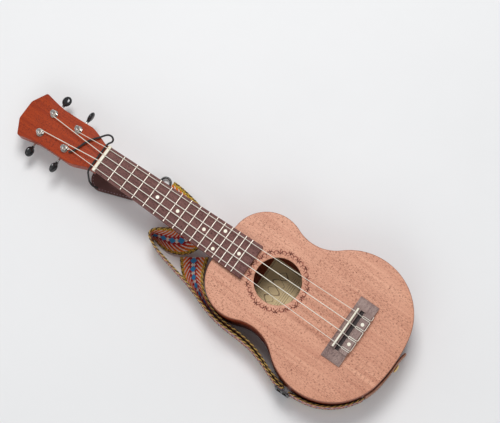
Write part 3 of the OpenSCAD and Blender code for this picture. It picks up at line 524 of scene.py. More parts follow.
def string_route(i):
    """From the tail of the knot, over the tie block and under itself, through the block, over the
    saddle and the nut, to the side of the post. It is worked out in millimetres."""
    r, top = STRING_D[i] / 2 / MM, TOP / MM
    saddle_pitch, nut_pitch, tie_depth, tie_height = 14.1, 9.05, 15.4, 7.3
    xs, xn = (i - 1.5) * saddle_pitch, (i - 1.5) * nut_pitch
    slot_z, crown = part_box("nut")[1].z / MM - 1.2 + r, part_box("saddle")[1].z / MM + r
    front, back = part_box("bridge")[1].y / MM - tie_depth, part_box("bridge")[0].y / MM
    saddle, nut, head = SADDLE_Y / MM, NUT_Y / MM, HEAD_Y / MM
    over, behind = top + tie_height + r, back - r - 0.15
    touch = POST_SIDE[i] * (POST_X - WAIST_R - STRING_D[i] / 2)
    end = head_frame() @ Vector((touch, POST_Y[i], WAIST_Z + STRING_D[i] / 2))
    tail = 7.5 if i == 3 else 13.2
    return np.vstack([np.array([
        [xs + tail, behind - 0.1, top + 6.5], [xs + 3, behind - 0.3, top + 6.4],
        [xs + 1.7, behind, top + 6.6], [xs + 1.3, back + 0.6, over], [xs + 1.1, front - 0.7, over],
        [xs + 0.8, front + 0.4, over - 0.6], [xs, front + 0.7, over - 0.9],
        [xs - 0.8, front + 0.3, over - 0.5], [xs - 1, front - 0.8, over], [xs - 0.7, back + 0.6, over],
        [xs - 0.4, behind, top + 6.2], [xs, behind + 0.1, top + 5.2], [xs, back + 1.4, top + 5],
        [xs, front + 1, top + 5.2], [xs, saddle - 1, crown - 0.5], [xs, saddle, crown],
        [xn, nut + 1, slot_z], [xn, head - 0.6, slot_z - 0.1]]) * MM, [end[:]]])


def make_strings():
    """Round strings along their routes, and a winding of three and a bit turns on each post. The
    winding turns with its post, and the string meets it at its side."""
    for i in range(4):
        path = corner_rounded(string_route(i), 0.9 * MM)
        shell, flow = tube(path, STRING_D[i] / 2)
        piece(f"string_{i + 1}_finished", [shell], "nylon", replaces=[f"string_{i + 1}"], flow=[flow])
        turns, d = 3.2, STRING_D[i]
        t = np.linspace(0, 1, 90)
        a = 2 * math.pi * turns * t
        r = WAIST_R + d / 2
        coil = np.stack([r * np.cos(a), r * np.sin(a), WAIST_Z + d / 2 + (turns - 0.4) * d * t], 1)
        shell, flow = tube(placed(coil, tuner_frame(i)), d / 2, sides=10)
        piece(f"winding_{i + 1}_finished", [shell], "nylon", body=f"spindle_{i + 1}",
              replaces=[f"winding_{i + 1}"], flow=[flow])


# ---------- tuner buttons ----------

BUTTON_TURN = [75, 55, 8, 100]


def make_buttons():
    """An oval pillow on a short collar. The pillow's outline is x = a*cos(t), y = b*sin(t), and its
    half thickness falls as (1 - spread^3)^0.6 from the middle to the rim."""
    long_r, short_r, half_t, rim_gap = 6.6 * MM, 5.7 * MM, 2.9 * MM, 6.2 * MM
    lat = np.linspace(-1, 1, 25)[:, None]
    rho = 1 - np.abs(lat) ** 1.8
    t = full_turn(48)[None]
    spread = (1 - (1 - rho) ** 2) ** 0.5
    thick = np.sign(lat) * half_t * (1 - spread ** 3) ** 0.6
    pillow = stacked(long_r * spread * np.cos(t), short_r * spread * np.sin(t), thick)
    collar = [(0.8 * MM, -7.9 * MM), (1.6 * MM, -7.9 * MM), (1.9 * MM, -7.6 * MM), (1.9 * MM, -7.1 * MM),
              (1.7 * MM, -6.7 * MM), (2.3 * MM, -5.6 * MM), (2.4 * MM, -4 * MM), (0.8 * MM, -4 * MM)]
    for i in range(4):
        low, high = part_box(f"button_{i + 1}")
        outer = high.x if POST_SIDE[i] > 0 else low.x
        centre = Vector((outer - POST_SIDE[i] * rim_gap, (low.y + high.y) / 2, (low.z + high.z) / 2))
        facing = Matrix.Rotation(0 if POST_SIDE[i] > 0 else math.pi, 4, "Z")
        turn = Matrix.Rotation(math.radians(BUTTON_TURN[i]) - HEAD_TILT, 4, "X")
        place = Matrix.Translation(centre) @ turn @ facing
        shells = [grid_shell(placed(pillow[1:-1], place)),
                  turned(collar, place @ Matrix.Rotation(math.pi / 2, 4, "Y"), 32)]
        piece(f"button_{i + 1}_finished", shells, "button_plastic", body=f"knob_{i + 1}",
              replaces=[f"button_{i + 1}"])


# ---------- tuner hardware ----------

def slotted_head(matrix, radius, height):
    """A domed screw head with a slot: height falls as 1 - 0.35*rho^2 from the middle, and is 0.45
    of that within the slot."""
    t = full_turn(64)[None]
    rho = np.linspace(0.04, 1, 16)[:, None]
    x = radius * rho * np.cos(t)
    dome = height * (1 - 0.35 * rho ** 2) + 0 * t
    z = np.where(np.abs(x) < 0.16 * radius, dome * 0.45, dome)
    top = np.stack([x, radius * rho * np.sin(t), z], -1)
    foot = top[-1:] * [1, 1, 0]
    rings = np.concatenate([top, foot, foot * [0.5, 0.5, 1]])
    return grid_shell(placed(rings, matrix))


def make_screws():
    """Two screws hold each tuner's plate, and one holds each gear on its post."""
    back = Matrix.Rotation(math.pi, 4, "X")
    plate_t, low_y, high_y = 1 * MM, -8.4 * MM, 12.6 * MM
    plate_back = -HEAD_T - plate_t
    heads = [slotted_head(tuner_frame(i) @ Matrix.Translation((0, y, plate_back)) @ back
                          @ Matrix.Rotation(i + y * 90, 4, "Z"), 2 * MM, 1.1 * MM)
             for i in range(4) for y in (low_y, high_y)]
    piece("tuner_plate_screws_finished", heads, "screw_steel", replaces=["tuner_plate_screws"])
    gear_gap, gear_t = 1.2, 3.6
    gear_back = plate_back - (gear_gap + gear_t) * MM
    for i in range(4):
        head = slotted_head(tuner_frame(i) @ Matrix.Translation((0, 0, gear_back)) @ back
                            @ Matrix.Rotation(i * 0.8, 4, "Z"), 2.7 * MM, 1.3 * MM)
        piece(f"gear_screw_{i + 1}_finished", [head], "screw_steel", body=f"spindle_{i + 1}",
              replaces=[f"gear_screw_{i + 1}"])


def finish_hard_parts():
    """Frame parts whose shape is right get smooth curves and rounded edges. The inner parts and the
    label keep their shapes, and only take a material."""
    for node, slot, edge in [
            ("fretboard", "rosewood", 0.3), ("bridge", "bridge_rosewood", 0.3),
            ("frets", "nickel_silver", 0.12), ("nut", "ivory_plastic", 0.15),
            ("saddle", "ivory_plastic", 0.15), ("position_dots", "ivory_plastic", 0.08),
            ("bridge_dots", "ivory_plastic", 0.3), ("tuner_plates", "chrome", 0.2),
            ("post_bushings", "chrome", 0.3), ("end_pin", "pin_brass", 0.2),
            ("strap_slider", "black_plastic", 0.5)]:
        rounded_copy(node, slot, edge * MM)
    for n in range(1, 5):
        rounded_copy(f"post_{n}", "chrome", 0.12 * MM, f"spindle_{n}")
        rounded_copy(f"gear_{n}", "gear_brass", 0.06 * MM, f"spindle_{n}")
        rounded_copy(f"worm_{n}", "chrome", 0, f"knob_{n}", sharp=50)
    inner = ["neck_block", "tail_block", "linings", "top_braces", "back_braces", "bridge_plate"]
    for node, slot in [*((n, "inner_wood") for n in inner), ("label", "paper"),
                       ("bridge_screws", "screw_steel")]:
        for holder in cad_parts[node].material_slots:
            holder.material = MATERIALS[slot]


# ---------- strap ----------

STRAP_W = 38 * MM
CLOTH_W = STRAP_W - 2.2 * MM
CLOTH_T = 1.7 * MM
ON_EDGE_Z = 19.4


def upright(*points):
    """Route points where the webbing stands on its edge, from their x and y."""
    return [[x, y, ON_EDGE_Z, 90] for x, y in points]


STRAP_ROUTE = [
    [16, 220.8, 4.4, 0], [16, 213, 4.4, 3], [15, 204, 5, 6], [13.5, 194, 6, 9],
    [11.5, 184, 7.3, 12], [7.5, 174, 9, 15], [1, 167, 11, 18], [-7, 163.8, 13, 22],
    [-15, 165, 15, 27], [-22, 170.5, 16.8, 34], [-27, 179, 18.2, 46], [-30, 189, 19.2, 60],
    [-31.8, 198, 19.4, 74], [-34.5, 203.5, 19.4, 84], [-39, 202.5, 19.4, 89],
    *upright([-43.5, 196], [-48, 182], [-52, 165], [-56, 147], [-60, 128], [-68, 108], [-74, 88],
             [-76.5, 68], [-77, 48], [-79, 28], [-84, 10], [-91, -8], [-95.4, -19], [-96.9, -30],
             [-95.8, -34.4], [-93.9, -33], [-92.6, -24], [-87.4, -6], [-80, 11], [-75, 27],
             [-72.4, 48], [-72.2, 68]),
    [-70.6, 84, 19.4, 88], [-65, 101, 19.4, 82], [-59, 115, 19.2, 72], [-52, 126.5, 17.4, 58],
    [-44, 135, 14.8, 44], [-36, 141, 11.8, 32], [-27, 146.3, 8.6, 20]]
TAIL_ROUTE = upright(
    [-96, -39], [-95.4, -47], [-94.6, -56], [-92, -68], [-87, -80], [-80, -91], [-71, -101],
    [-60, -109.4], [-51.9, -114.2])


def strap_line(route, step=2.5 * MM):
    """A strap's middle line, the way across it and the way out of its face, from points of
    [x, y, z, roll]: the width is level at roll 0 and upright at 90 degrees."""
    line = np.asarray(route, float) * [MM, MM, MM, math.pi / 180]
    line = softened(evenly_spaced(line, step), 6)
    middle, roll = line[:, :3], line[:, 3:]
    along = directions(middle * [1, 1, 0])
    across = np.cos(roll) * np.cross(along, [0, 0, 1]) + np.sin(roll) * [0, 0, 1]
    return middle, across, np.cross(across, along)


def band(line, width, thickness):
    """Shell of a flat band with round edges: its half thickness falls as (1 - s^10)^0.5 across it."""
    middle, across, out = line
    s = np.sin(np.linspace(-1, 1, 17) * math.pi / 2)
    s = np.r_[s, s[-2:0:-1]]
    face = np.r_[np.ones(17), -np.ones(15)]
    half = thickness / 2 * np.sqrt(1 - np.abs(s) ** 10) * face
    rings = (middle[:, None] + across[:, None] * (s * width / 2)[None, :, None]
             + out[:, None] * half[None, :, None])
    flow = stacked(run_of(middle)[:, None], (s * width / 2)[None], face[None])
    return grid_shell(rings), flow


def edge_braid(line, side, phase):
    """One of two cords twisted along a strap's edge: a helix about the edge line."""
    middle, across, out = line
    pitch, twist_r, cord_r = 7 * MM, 0.58 * MM, 0.64 * MM
    edge = middle + across * side * (STRAP_W / 2 - 1.05 * MM)
    dense = evenly_spaced(np.hstack([edge, across, out]), 0.8 * MM)
    a = (run_of(dense) * 2 * math.pi / pitch + phase)[:, None]
    path = dense[:, :3] + twist_r * (np.cos(a) * dense[:, 3:6] + np.sin(a) * dense[:, 6:])
    return tube(path, cord_r, sides=7)


def make_strap():
    """The woven strap in two lengths, each with a two-cord braid along both edges."""
    for name, route, node in [("strap", STRAP_ROUTE, "strap_webbing"),
                              ("strap_tail", TAIL_ROUTE, "strap_tail_webbing")]:
        line = strap_line(route)
        shell, flow = band(line, CLOTH_W, CLOTH_T)
        piece(name + "_cloth", [shell], "woven_strap", replaces=[node], flow=[flow])
        for cord, phase in (("pale", 0), ("dark", math.pi)):
            made = [edge_braid(line, side, phase) for side in (-1, 1)]
            piece(f"{name}_braid_{cord}", [m[0] for m in made], "woven_strap",
                  flow=[m[1] for m in made], material=cord + "_braid")


def stitches(path, normal, length=2.4 * MM, pitch=3.8 * MM):
    """Thread stitches along a path: small ellipsoids, long along it and flat on the surface."""
    line = evenly_spaced(np.hstack([path, normal]), pitch)
    tangent = directions(line[:, :3])
    up = unit_rows(line[:, 3:])
    side = np.cross(up, tangent)
    lat = np.linspace(0, math.pi, 6)[1:-1, None]
    t = full_turn(6)[None]
    unit = stacked(np.cos(lat), np.sin(lat) * np.cos(t), np.sin(lat) * np.sin(t))
    sizes = np.array([length / 2, 0.38 * MM, 0.28 * MM])
    shells = []
    for at, along, beside, above in zip(line[1:-1, :3], tangent[1:-1], side[1:-1], up[1:-1]):
        shells.append(grid_shell(at + (unit * sizes) @ np.array([along, beside, above])))
    return shells


def tail_skin(x):
    """Height of the body's outline at x, on the tail's side."""
    tail = OUTLINE[OUTLINE[:, 1] < -60 * MM]
    tail = tail[np.argsort(tail[:, 0])]
    return np.interp(x, tail[:, 0], tail[:, 1])


def make_tail_tab():
    """A leather strip that follows the tail from beyond the end pin to the webbing, stitched along
    both edges of both faces."""
    low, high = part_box("strap_tail_tab")
    thickness, middle_z = 3 * MM, (low.z + high.z) / 2
    width = high.z - low.z
    x = np.r_[19, 14, np.arange(8, -51, -3)] * MM
    y = tail_skin(x) - 0.3 * MM - thickness / 2 - np.r_[3.0, 1.4, np.zeros(len(x) - 2)] * MM
    middle = softened(np.column_stack([x, y, np.full(len(x), middle_z)]), 2)
    along = directions(middle)
    across = np.broadcast_to([0.0, 0.0, 1.0], middle.shape)
    line = (middle, across, np.cross(across, along))
    shell, flow = band(line, width, thickness)
    piece("tail_tab_leather", [shell], "tan_leather", replaces=["strap_tail_tab"], flow=[flow])
    outward = line[2] * np.sign((line[2] * [0, -1, 0]).sum())
    thread = []
    for side in (-1, 1):
        for face in (-1, 1):
            path = middle + across * side * (width / 2 - 2.6 * MM) + outward * face * thickness / 2
            thread += stitches(path, outward * face)
    piece("tail_tab_stitches", thread, "tan_leather", material="tan_thread")


RING_BAR = Vector((20 * MM, 235 * MM, 0))


def head_tab_outline(inset):
    """The tab's outline moved in by inset, about the ring's bar: a narrow neck, and then a strip
    with a round end that leans to the left."""
    half_w, neck_w, turn = 15 * MM - inset, 6 * MM - inset, math.radians(19.5)
    end_y, round_end = inset - 41 * MM, np.array([-32.5, 58.4]) * MM
    a = np.linspace(0, math.pi, 25)[:, None]
    strip = np.vstack([[[half_w, end_y]], half_w * np.hstack([np.cos(a), np.sin(a)]), [[-half_w, end_y]]])
    lean = np.array([[math.cos(turn), math.sin(turn)], [-math.sin(turn), math.cos(turn)]])
    strip = strip @ lean + round_end
    return np.vstack([[[neck_w, 1.5 * MM], [neck_w, 16 * MM]], strip, [[-neck_w, 1.5 * MM]]])


def make_head_tab():
    """A stitched leather tab that lies flat under the headstock, and the fold that holds the ring."""
    ring_z, wire = (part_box("strap_ring")[0].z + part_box("strap_ring")[1].z) / 2, 1.4 * MM
    lift, thickness = 0.9 * MM, 2.2 * MM
    place = Matrix.Translation(RING_BAR)
    outline = evenly_spaced(np.vstack([head_tab_outline(0), head_tab_outline(0)[:1]]), 1.2 * MM)[:-1]
    plate, rows = slab(outline, lift, lift + thickness, 0.6 * MM, place)
    fold_r = wire + 0.1 * MM + thickness / 2
    a = np.linspace(-math.pi / 2, -3 * math.pi / 2, 16)
    fold = np.column_stack([np.full(len(a), RING_BAR.x), RING_BAR.y + fold_r * np.cos(a),
                            ring_z + fold_r * np.sin(a)])
    flap = fold[-1] + np.linspace(2, 13, 6)[:, None] * [0, MM, 0]
    root = fold[0] + np.linspace(12, 2, 5)[:, None] * [0, MM, 0]
    middle = np.vstack([root, fold, flap])
    across = np.broadcast_to([1.0, 0.0, 0.0], middle.shape)
    fold_shell, fold_flow = band((middle, across, np.cross(across, directions(middle))), 12 * MM, thickness)
    piece("head_tab_leather", [plate, fold_shell], "dark_leather", replaces=["strap_head_tab"],
          flow=[rows, fold_flow])
    edge = head_tab_outline(2.4 * MM)
    seam = placed(level(edge, lift + thickness), place)
    up = np.broadcast_to([0.0, 0.0, 1.0], seam.shape)
    piece("head_tab_stitches", stitches(seam, up), "dark_leather", material="mauve_thread")


def make_ring_and_rivet():
    """The ring is round wire bent to an oval of two half circles and two straights. The rivet is a
    turned stud with a domed cap."""
    low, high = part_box("strap_ring")
    centre, wire = (low + high) / 2, (high.z - low.z) / 2
    bend_r, straight = (high.y - low.y) / 2 - wire, 8 * MM
    a = np.linspace(-math.pi / 2, math.pi / 2, 25)
    right = np.column_stack([straight + bend_r * np.cos(a), bend_r * np.sin(a)])
    way = evenly_spaced(np.vstack([right, -right, right[:1]]), 0.6 * MM)[:-1]
    out = level(loop_outward(way), 0)
    t = full_turn(16)[None, :, None]
    path = level(way, 0) + np.array(centre)
    rings = path[:, None] + wire * (np.cos(t) * out[:, None] + np.sin(t) * np.array([0, 0, 1.0]))
    piece("ring_finished", [grid_shell(rings, wrap_rows=True)], "black_metal", replaces=["strap_ring"])
    low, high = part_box("strap_rivet")
    cap, foot, r = high.z, low.z, (high.x - low.x) / 2
    dome = [(r * math.cos(b), cap - 1.2 * MM + 1.2 * MM * math.sin(b)) for b in np.linspace(0, 1.45, 9)]
    profile = [(0.4 * MM, foot), (3 * MM, foot), (3 * MM, foot + 0.6 * MM), (1.6 * MM, foot + 0.7 * MM),
               (1.6 * MM, cap - 1.3 * MM), (r - 0.3 * MM, cap - 1.3 * MM), *dome]
    place = Matrix.Translation(((low.x + high.x) / 2, (low.y + high.y) / 2, 0))
    piece("rivet_finished", [turned(profile, place)], "rivet_steel", replaces=["strap_rivet"])


LACE_R = 1.15 * MM
LACE_ROUTE = [
    [-25, 293, 4.2], [-27, 298, 10], [-26.5, 301, 22], [-24.5, 301.5, 36], [-22.5, 301.5, 50],
    [-21, 301.5, 58], [-18, 301.5, 61.4], [-12, 301.5, 61.6], [0, 301.5, 61.6], [12, 301.5, 61.6],
    [17.5, 301.5, 61.4], [21, 301, 58.4], [24, 300, 54.6], [27.5, 300.5, 53.6], [30, 304, 54.6],
    [29, 308.4, 56.4], [25, 311.4, 58.2], [21, 313.6, 59.2], [17, 317, 59.2], [12.5, 321, 58.4],
    [6, 325, 57.4], [-1, 327.6, 56.8], [-7, 329.6, 56.4], [-12, 332, 55.8], [-15, 335.4, 55.2]]


def make_lace():
    """A round braided lace along its route."""
    path = corner_rounded(np.array(LACE_ROUTE) * MM, 4 * MM)
    shell, flow = tube(path, LACE_R, sides=14)
    lace = piece("lace_finished", [shell], "black_cord", replaces=["strap_lace"], flow=[flow])
    return lace, path


# ---------- node wiring ----------

SOCKETS = {"value": "NodeSocketFloat", "vector": "NodeSocketVector", "colour": "NodeSocketColor"}


def add(tree, kind, inputs, output=0, **settings):
    """Adds a node and returns one of its outputs. A socket among the inputs is linked, and any
    other value is set."""
    node = tree.nodes.new(kind)
    for name, value in settings.items():
        setattr(node, name, value)
    for key, value in inputs.items():
        if isinstance(value, bpy.types.NodeSocket):
            tree.links.new(value, node.inputs[key])
        else:
            node.inputs[key].default_value = value
    return node.outputs[output]


def calc(tree, operation, a, b=0.0, c=0.0):
    """The result of one sum or comparison."""
    return add(tree, "ShaderNodeMath", {0: a, 1: b, 2: c}, operation=operation)


def times(tree, a, b):
    """The product of a and b."""
    return calc(tree, "MULTIPLY", a, b)


def near(tree, value, centre, reach):
    """1 where value is no further than reach from centre, and 0 elsewhere."""
    return calc(tree, "COMPARE", value, centre, reach)


def ramp(tree, value, low, high, to_low=0.0, to_high=1.0):
    """Changes evenly from to_low to to_high as value goes from low to high."""
    return add(tree, "ShaderNodeMapRange", {0: value, 1: low, 2: high, 3: to_low, 4: to_high})


def blend(tree, share, a, b):
    """Colour a where share is 0, and b where it is 1."""
    return add(tree, "ShaderNodeMix", {0: share, 6: a, 7: b}, output=2, data_type="RGBA")


def noise(tree, vector, scale, detail=2.0, distortion=0.0):
    """Noise from 0 to 1 with patches about 1/scale metres wide."""
    return add(tree, "ShaderNodeTexNoise",
               {"Vector": vector, "Scale": scale, "Detail": detail, "Distortion": distortion})


def stretched(tree, vector, x, y, z):
    """The vector with its parts multiplied by x, y and z."""
    return add(tree, "ShaderNodeVectorMath", {0: vector, 1: (x, y, z)}, operation="MULTIPLY")


def rgb(r, g, b):
    """An opaque linear colour."""
    return (r, g, b, 1.0)


def here(tree):
    """The place in the frame's metres."""
    return add(tree, "ShaderNodeTexCoord", {}, output="Object")


def flow(tree):
    """The distances along and across a surface that its piece carries."""
    return add(tree, "ShaderNodeAttribute", {}, output="Vector", attribute_name="flow")


def parts_of(tree, vector):
    """The x, y and z of a vector."""
    node = tree.nodes.new("ShaderNodeSeparateXYZ")
    tree.links.new(vector, node.inputs[0])
    return list(node.outputs)


def new_group(name, inputs, outputs):
    """A node group with named inputs and outputs, and the sockets inside it to wire."""
    tree = bpy.data.node_groups.new(name, "ShaderNodeTree")
    for title, kind in inputs.items():
        tree.interface.new_socket(title, in_out="INPUT", socket_type=SOCKETS[kind])
    for title, kind in outputs.items():
        tree.interface.new_socket(title, in_out="OUTPUT", socket_type=SOCKETS[kind])
    return tree, tree.nodes.new("NodeGroupInput").outputs, tree.nodes.new("NodeGroupOutput").inputs


def use(tree, group, inputs):
    """Adds a node of the group, and returns its outputs."""
    return add(tree, "ShaderNodeGroup", inputs, node_tree=group).node.outputs


def wood_figure():
    """Straight-grained wood whose grain runs along y: broad bands, fine streaks, and pores that
    are short dark lines and shallow grooves."""
    tree, given, result = new_group(
        "Wood figure",
        {"Vector": "vector", "Pale": "colour", "Dark": "colour", "Pore": "colour", "Pore Amount": "value"},
        {"Color": "colour", "Height": "value", "Roughness": "value"})
    at = given["Vector"]
    bands = noise(tree, stretched(tree, at, 1, 0.12, 1), 38, 3, 0.6)
    streaks = noise(tree, stretched(tree, at, 1, 0.035, 1), 420, 3)
    mixed = calc(tree, "MULTIPLY_ADD", streaks, 0.6, times(tree, bands, 0.5))
    tone = ramp(tree, mixed, 0.36, 0.74)
    dense = noise(tree, stretched(tree, at, 1, 0.3, 1), 90, 1)
    threshold = calc(tree, "MULTIPLY_ADD", dense, -0.16, 0.655)
    specks = noise(tree, stretched(tree, at, 1, 0.16, 1), 2100, 1)
    pores = ramp(tree, calc(tree, "SUBTRACT", specks, threshold), 0.0, 0.07)
    pores = times(tree, pores, given["Pore Amount"])
    grain = blend(tree, tone, given["Pale"], given["Dark"])
    tree.links.new(blend(tree, pores, grain, given["Pore"]), result["Color"])
    tree.links.new(calc(tree, "MULTIPLY_ADD", pores, -1.0, times(tree, streaks, 0.3)),
                   result["Height"])
    tree.links.new(calc(tree, "MULTIPLY_ADD", tone, 0.08, times(tree, pores, 0.2)),
                   result["Roughness"])
    return tree


def handling_marks():
    """Smudges and fine hairlines that vary how sharply a smooth surface shines."""
    tree, given, result = new_group("Handling marks", {"Vector": "vector", "Roughness": "value"},
                                    {"Roughness": "value", "Height": "value"})
    smudges = noise(tree, given["Vector"], 110, 4, 0.8)
    hairs = noise(tree, stretched(tree, given["Vector"], 1, 0.07, 1), 2600, 2, 0.4)
    total = calc(tree, "MULTIPLY_ADD", smudges, 1.1, times(tree, hairs, 0.5))
    tree.links.new(times(tree, total, given["Roughness"]), result["Roughness"])
    tree.links.new(hairs, result["Height"])
    return tree


def leather_grain():
    """Small rounded cells with creases between them, and a slow change of shade."""
    tree, given, result = new_group("Leather grain", {"Vector": "vector"},
                                    {"Height": "value", "Shade": "value"})
    wobble = noise(tree, given["Vector"], 500, 2)
    cells = add(tree, "ShaderNodeTexVoronoi", {"Vector": given["Vector"], "Scale": 1100.0}, "Distance")
    tree.links.new(calc(tree, "MULTIPLY_ADD", wobble, 0.5, times(tree, cells, -0.8)),
                   result["Height"])
    tree.links.new(noise(tree, given["Vector"], 70, 4, 0.5), result["Shade"])
    return tree


def twisted_thread():
    """Filaments that wind round a cord. Along is in metres, and Sine and Cosine give the side."""
    tree, given, result = new_group(
        "Twisted thread", {"Vector": "vector", "Lay": "value"}, {"Height": "value", "Shade": "value"})
    along, sine, cosine = parts_of(tree, given["Vector"])
    turn = calc(tree, "ARCTAN2", sine, cosine)
    phase = calc(tree, "ADD", times(tree, turn, 3.0),
                 calc(tree, "DIVIDE", times(tree, along, 2 * math.pi), given["Lay"]))
    tree.links.new(calc(tree, "SINE", phase), result["Height"])
    # Shade is painted shade, darkest in the grooves between filaments.
    tree.links.new(ramp(tree, calc(tree, "SINE", phase), -1.0, 0.4), result["Shade"])
    return tree


GROUPS = {}
MATERIALS = {}


def once(build):
    """The function build(tree), run only the first time for each tree."""
    made = {}

    def found(tree):
        if tree not in made:
            made[tree] = build(tree)
        return made[tree]
    return found


def bump(tree, shader, height, distance):
    """Relief of about distance metres where height goes from 0 to 1."""
    normal = add(tree, "ShaderNodeBump", {"Strength": 1.0, "Distance": distance, "Height": height})
    tree.links.new(normal, shader.inputs["Normal"])


def new_material(name, colour, roughness, height, distance, **constants):
    """A material whose colour, roughness and height are functions of its tree that give sockets.
    The distance is the height's relief in metres, and constants are set on the shader."""
    made = bpy.data.materials.new(name)
    made.use_nodes = True
    tree = made.node_tree
    shader = tree.nodes["Principled BSDF"]
    for title, given in (("Base Color", colour), ("Roughness", roughness)):
        tree.links.new(given(tree), shader.inputs[title])
    for title, value in constants.items():
        shader.inputs[title.replace("_", " ")].default_value = value
    bump(tree, shader, height(tree), distance)
    MATERIALS[name] = made
    return made


def mottled(scale, low, high):
    """A roughness that varies finely from low to high."""
    return lambda tree: ramp(tree, noise(tree, here(tree), scale), 0, 1, low, high)


def speckled(scale, *detail):
    """A height that varies finely."""
    return lambda tree: noise(tree, here(tree), scale, *detail)


# ---------- materials ----------

def wood(name, pale, dark, pore, amount=0.8, roughness=0.42, place=here, across=False, stain_and_shade=None):
    """Wood with its grain along y, or along x where across is set. Where a share function is given, the
    pore colour is laid over the wood by that share, from 0 to 1: real staining on the soundboard's rim, and
    painted shade in the bridge's slot."""
    @once
    def figure(tree):
        at = place(tree)
        if across:
            at = add(tree, "ShaderNodeMapping", {"Vector": at, "Rotation": (0, 0, math.pi / 2)})
        return use(tree, GROUPS["wood"], {"Vector": at, "Pale": rgb(*pale), "Dark": rgb(*dark),
                                          "Pore": rgb(*pore), "Pore Amount": amount})

    def colour(tree):
        bare = figure(tree)["Color"]
        return blend(tree, stain_and_shade(tree), bare, rgb(*pore)) if stain_and_shade else bare

    return new_material(name, colour, lambda t: calc(t, "ADD", figure(t)["Roughness"], roughness),
                        lambda t: figure(t)["Height"], 0.05 * MM, Specular_IOR_Level=0.28)


def rim_stain(tree):
    """The soundboard's edge is stained dark like the sides."""
    edge, _, _ = parts_of(tree, flow(tree))
    return times(tree, edge, 0.75)


def slot_painted_shade(tree):
    """Painted shade in the slot between the bridge's saddle and its tie block: the wood is darkened towards
    black, fully in the lower part of the slot.
    """
    x, y, z = parts_of(tree, here(tree))
    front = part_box("bridge")[1].y
    # painted shade: none 4.6 mm over the top, full from 3.9 mm down
    deep = ramp(tree, z, TOP + 4.6 * MM, TOP + 3.9 * MM)
    within = near(tree, y, front - 11.4 * MM, 2.6 * MM)
    narrow = calc(tree, "LESS_THAN", calc(tree, "ABSOLUTE", x), 27 * MM)
    return times(tree, deep, times(tree, within, narrow))


def woods():
    """The soundboard's, sides' and neck's mahogany, the hidden wood, and two rosewoods."""
    wood("soundboard_mahogany", (0.74, 0.38, 0.25), (0.54, 0.235, 0.15), (0.2, 0.065, 0.035), 0.85,
         stain_and_shade=rim_stain)
    wood("side_mahogany", (0.36, 0.075, 0.025), (0.2, 0.03, 0.01), (0.06, 0.01, 0.005), 0.7, 0.34,
         place=flow)
    wood("neck_mahogany", (0.45, 0.062, 0.012), (0.25, 0.025, 0.006), (0.09, 0.01, 0.004), 0.75, 0.33,
         place=flow)
    wood("inner_wood", (0.66, 0.46, 0.27), (0.5, 0.31, 0.16), (0.3, 0.17, 0.08), 0.4, 0.6)
    wood("rosewood", (0.2, 0.08, 0.066), (0.1, 0.036, 0.032), (0.035, 0.012, 0.011), 0.85, 0.5)
    wood("bridge_rosewood", (0.36, 0.255, 0.225), (0.2, 0.125, 0.115), (0.03, 0.018, 0.018), 0.6, 0.45,
         across=True, stain_and_shade=slot_painted_shade)


def burnt_wood():
    """Scorched lines: dark red-brown, darker in patches, with the grain's pores showing through."""
    def colour(tree):
        patches = noise(tree, stretched(tree, here(tree), 1, 0.4, 1), 900, 3)
        return blend(tree, ramp(tree, patches, 0.35, 0.7), rgb(0.36, 0.11, 0.06), rgb(0.22, 0.055, 0.03))
    return new_material("burnt_wood", colour, lambda t: ramp(t, noise(t, here(t), 600), 0.3, 0.7, 0.5, 0.7),
                        speckled(1800), 0.05 * MM)


def paper():
    """A printed label: two waves that cross like a twisted ribbon, over four fine rules, inside a
    double border. The waves are y = 0.12 + 0.34*sin(9x)*(1 - x^2) and its mirror image."""
    half_w, half_h = 30.5 * MM, 24 * MM

    def colour(tree):
        x, y, _ = parts_of(tree, here(tree))
        x = calc(tree, "DIVIDE", x, half_w)
        y = calc(tree, "DIVIDE", calc(tree, "SUBTRACT", y, HOLE[1]), half_h)
        far = times(tree, x, x)
        swing = times(tree, calc(tree, "SINE", times(tree, x, 9.0)),
                     calc(tree, "MULTIPLY_ADD", far, -0.34, 0.34))
        up = calc(tree, "SUBTRACT", y, 0.12)
        ribbon = calc(tree, "MAXIMUM", near(tree, up, swing, 0.045),
                      near(tree, up, times(tree, swing, -1.0), 0.02))
        rules = times(tree, near(tree, y, -0.52, 0.2),
                     calc(tree, "LESS_THAN", calc(tree, "FRACT", times(tree, y, 9.0)), 0.2))
        inked = times(tree, calc(tree, "MAXIMUM", ribbon, rules), calc(tree, "LESS_THAN", far, 0.5))
        rim = calc(tree, "MAXIMUM", calc(tree, "ABSOLUTE", x), calc(tree, "ABSOLUTE", y))
        border = calc(tree, "MAXIMUM", near(tree, rim, 0.9, 0.012),
                      near(tree, rim, 0.95, 0.006))
        ink = times(tree, calc(tree, "MAXIMUM", inked, border), 0.7)
        aged = blend(tree, noise(tree, here(tree), 60, 4), rgb(0.95, 0.76, 0.45), rgb(0.82, 0.62, 0.33))
        return blend(tree, ink, aged, rgb(0.16, 0.08, 0.05))
    return new_material("paper", colour, mottled(900, 0.75, 0.95),
                        speckled(2500, 3), 0.02 * MM)


def smooth_stuff(name, colour, worn, roughness, relief=0.004 * MM, **constants):
    """Polished plastic or metal: its shade drifts to worn in patches, and marks vary its shine."""
    def tint(tree):
        patches = ramp(tree, noise(tree, here(tree), 85, 4, 0.5), 0.4, 0.75)
        return blend(tree, patches, rgb(*colour), rgb(*worn))

    @once
    def marked(tree):
        return use(tree, GROUPS["marks"], {"Vector": here(tree), "Roughness": roughness})

    return new_material(name, tint, lambda t: marked(t)["Roughness"], lambda t: marked(t)["Height"],
                        relief, **constants)


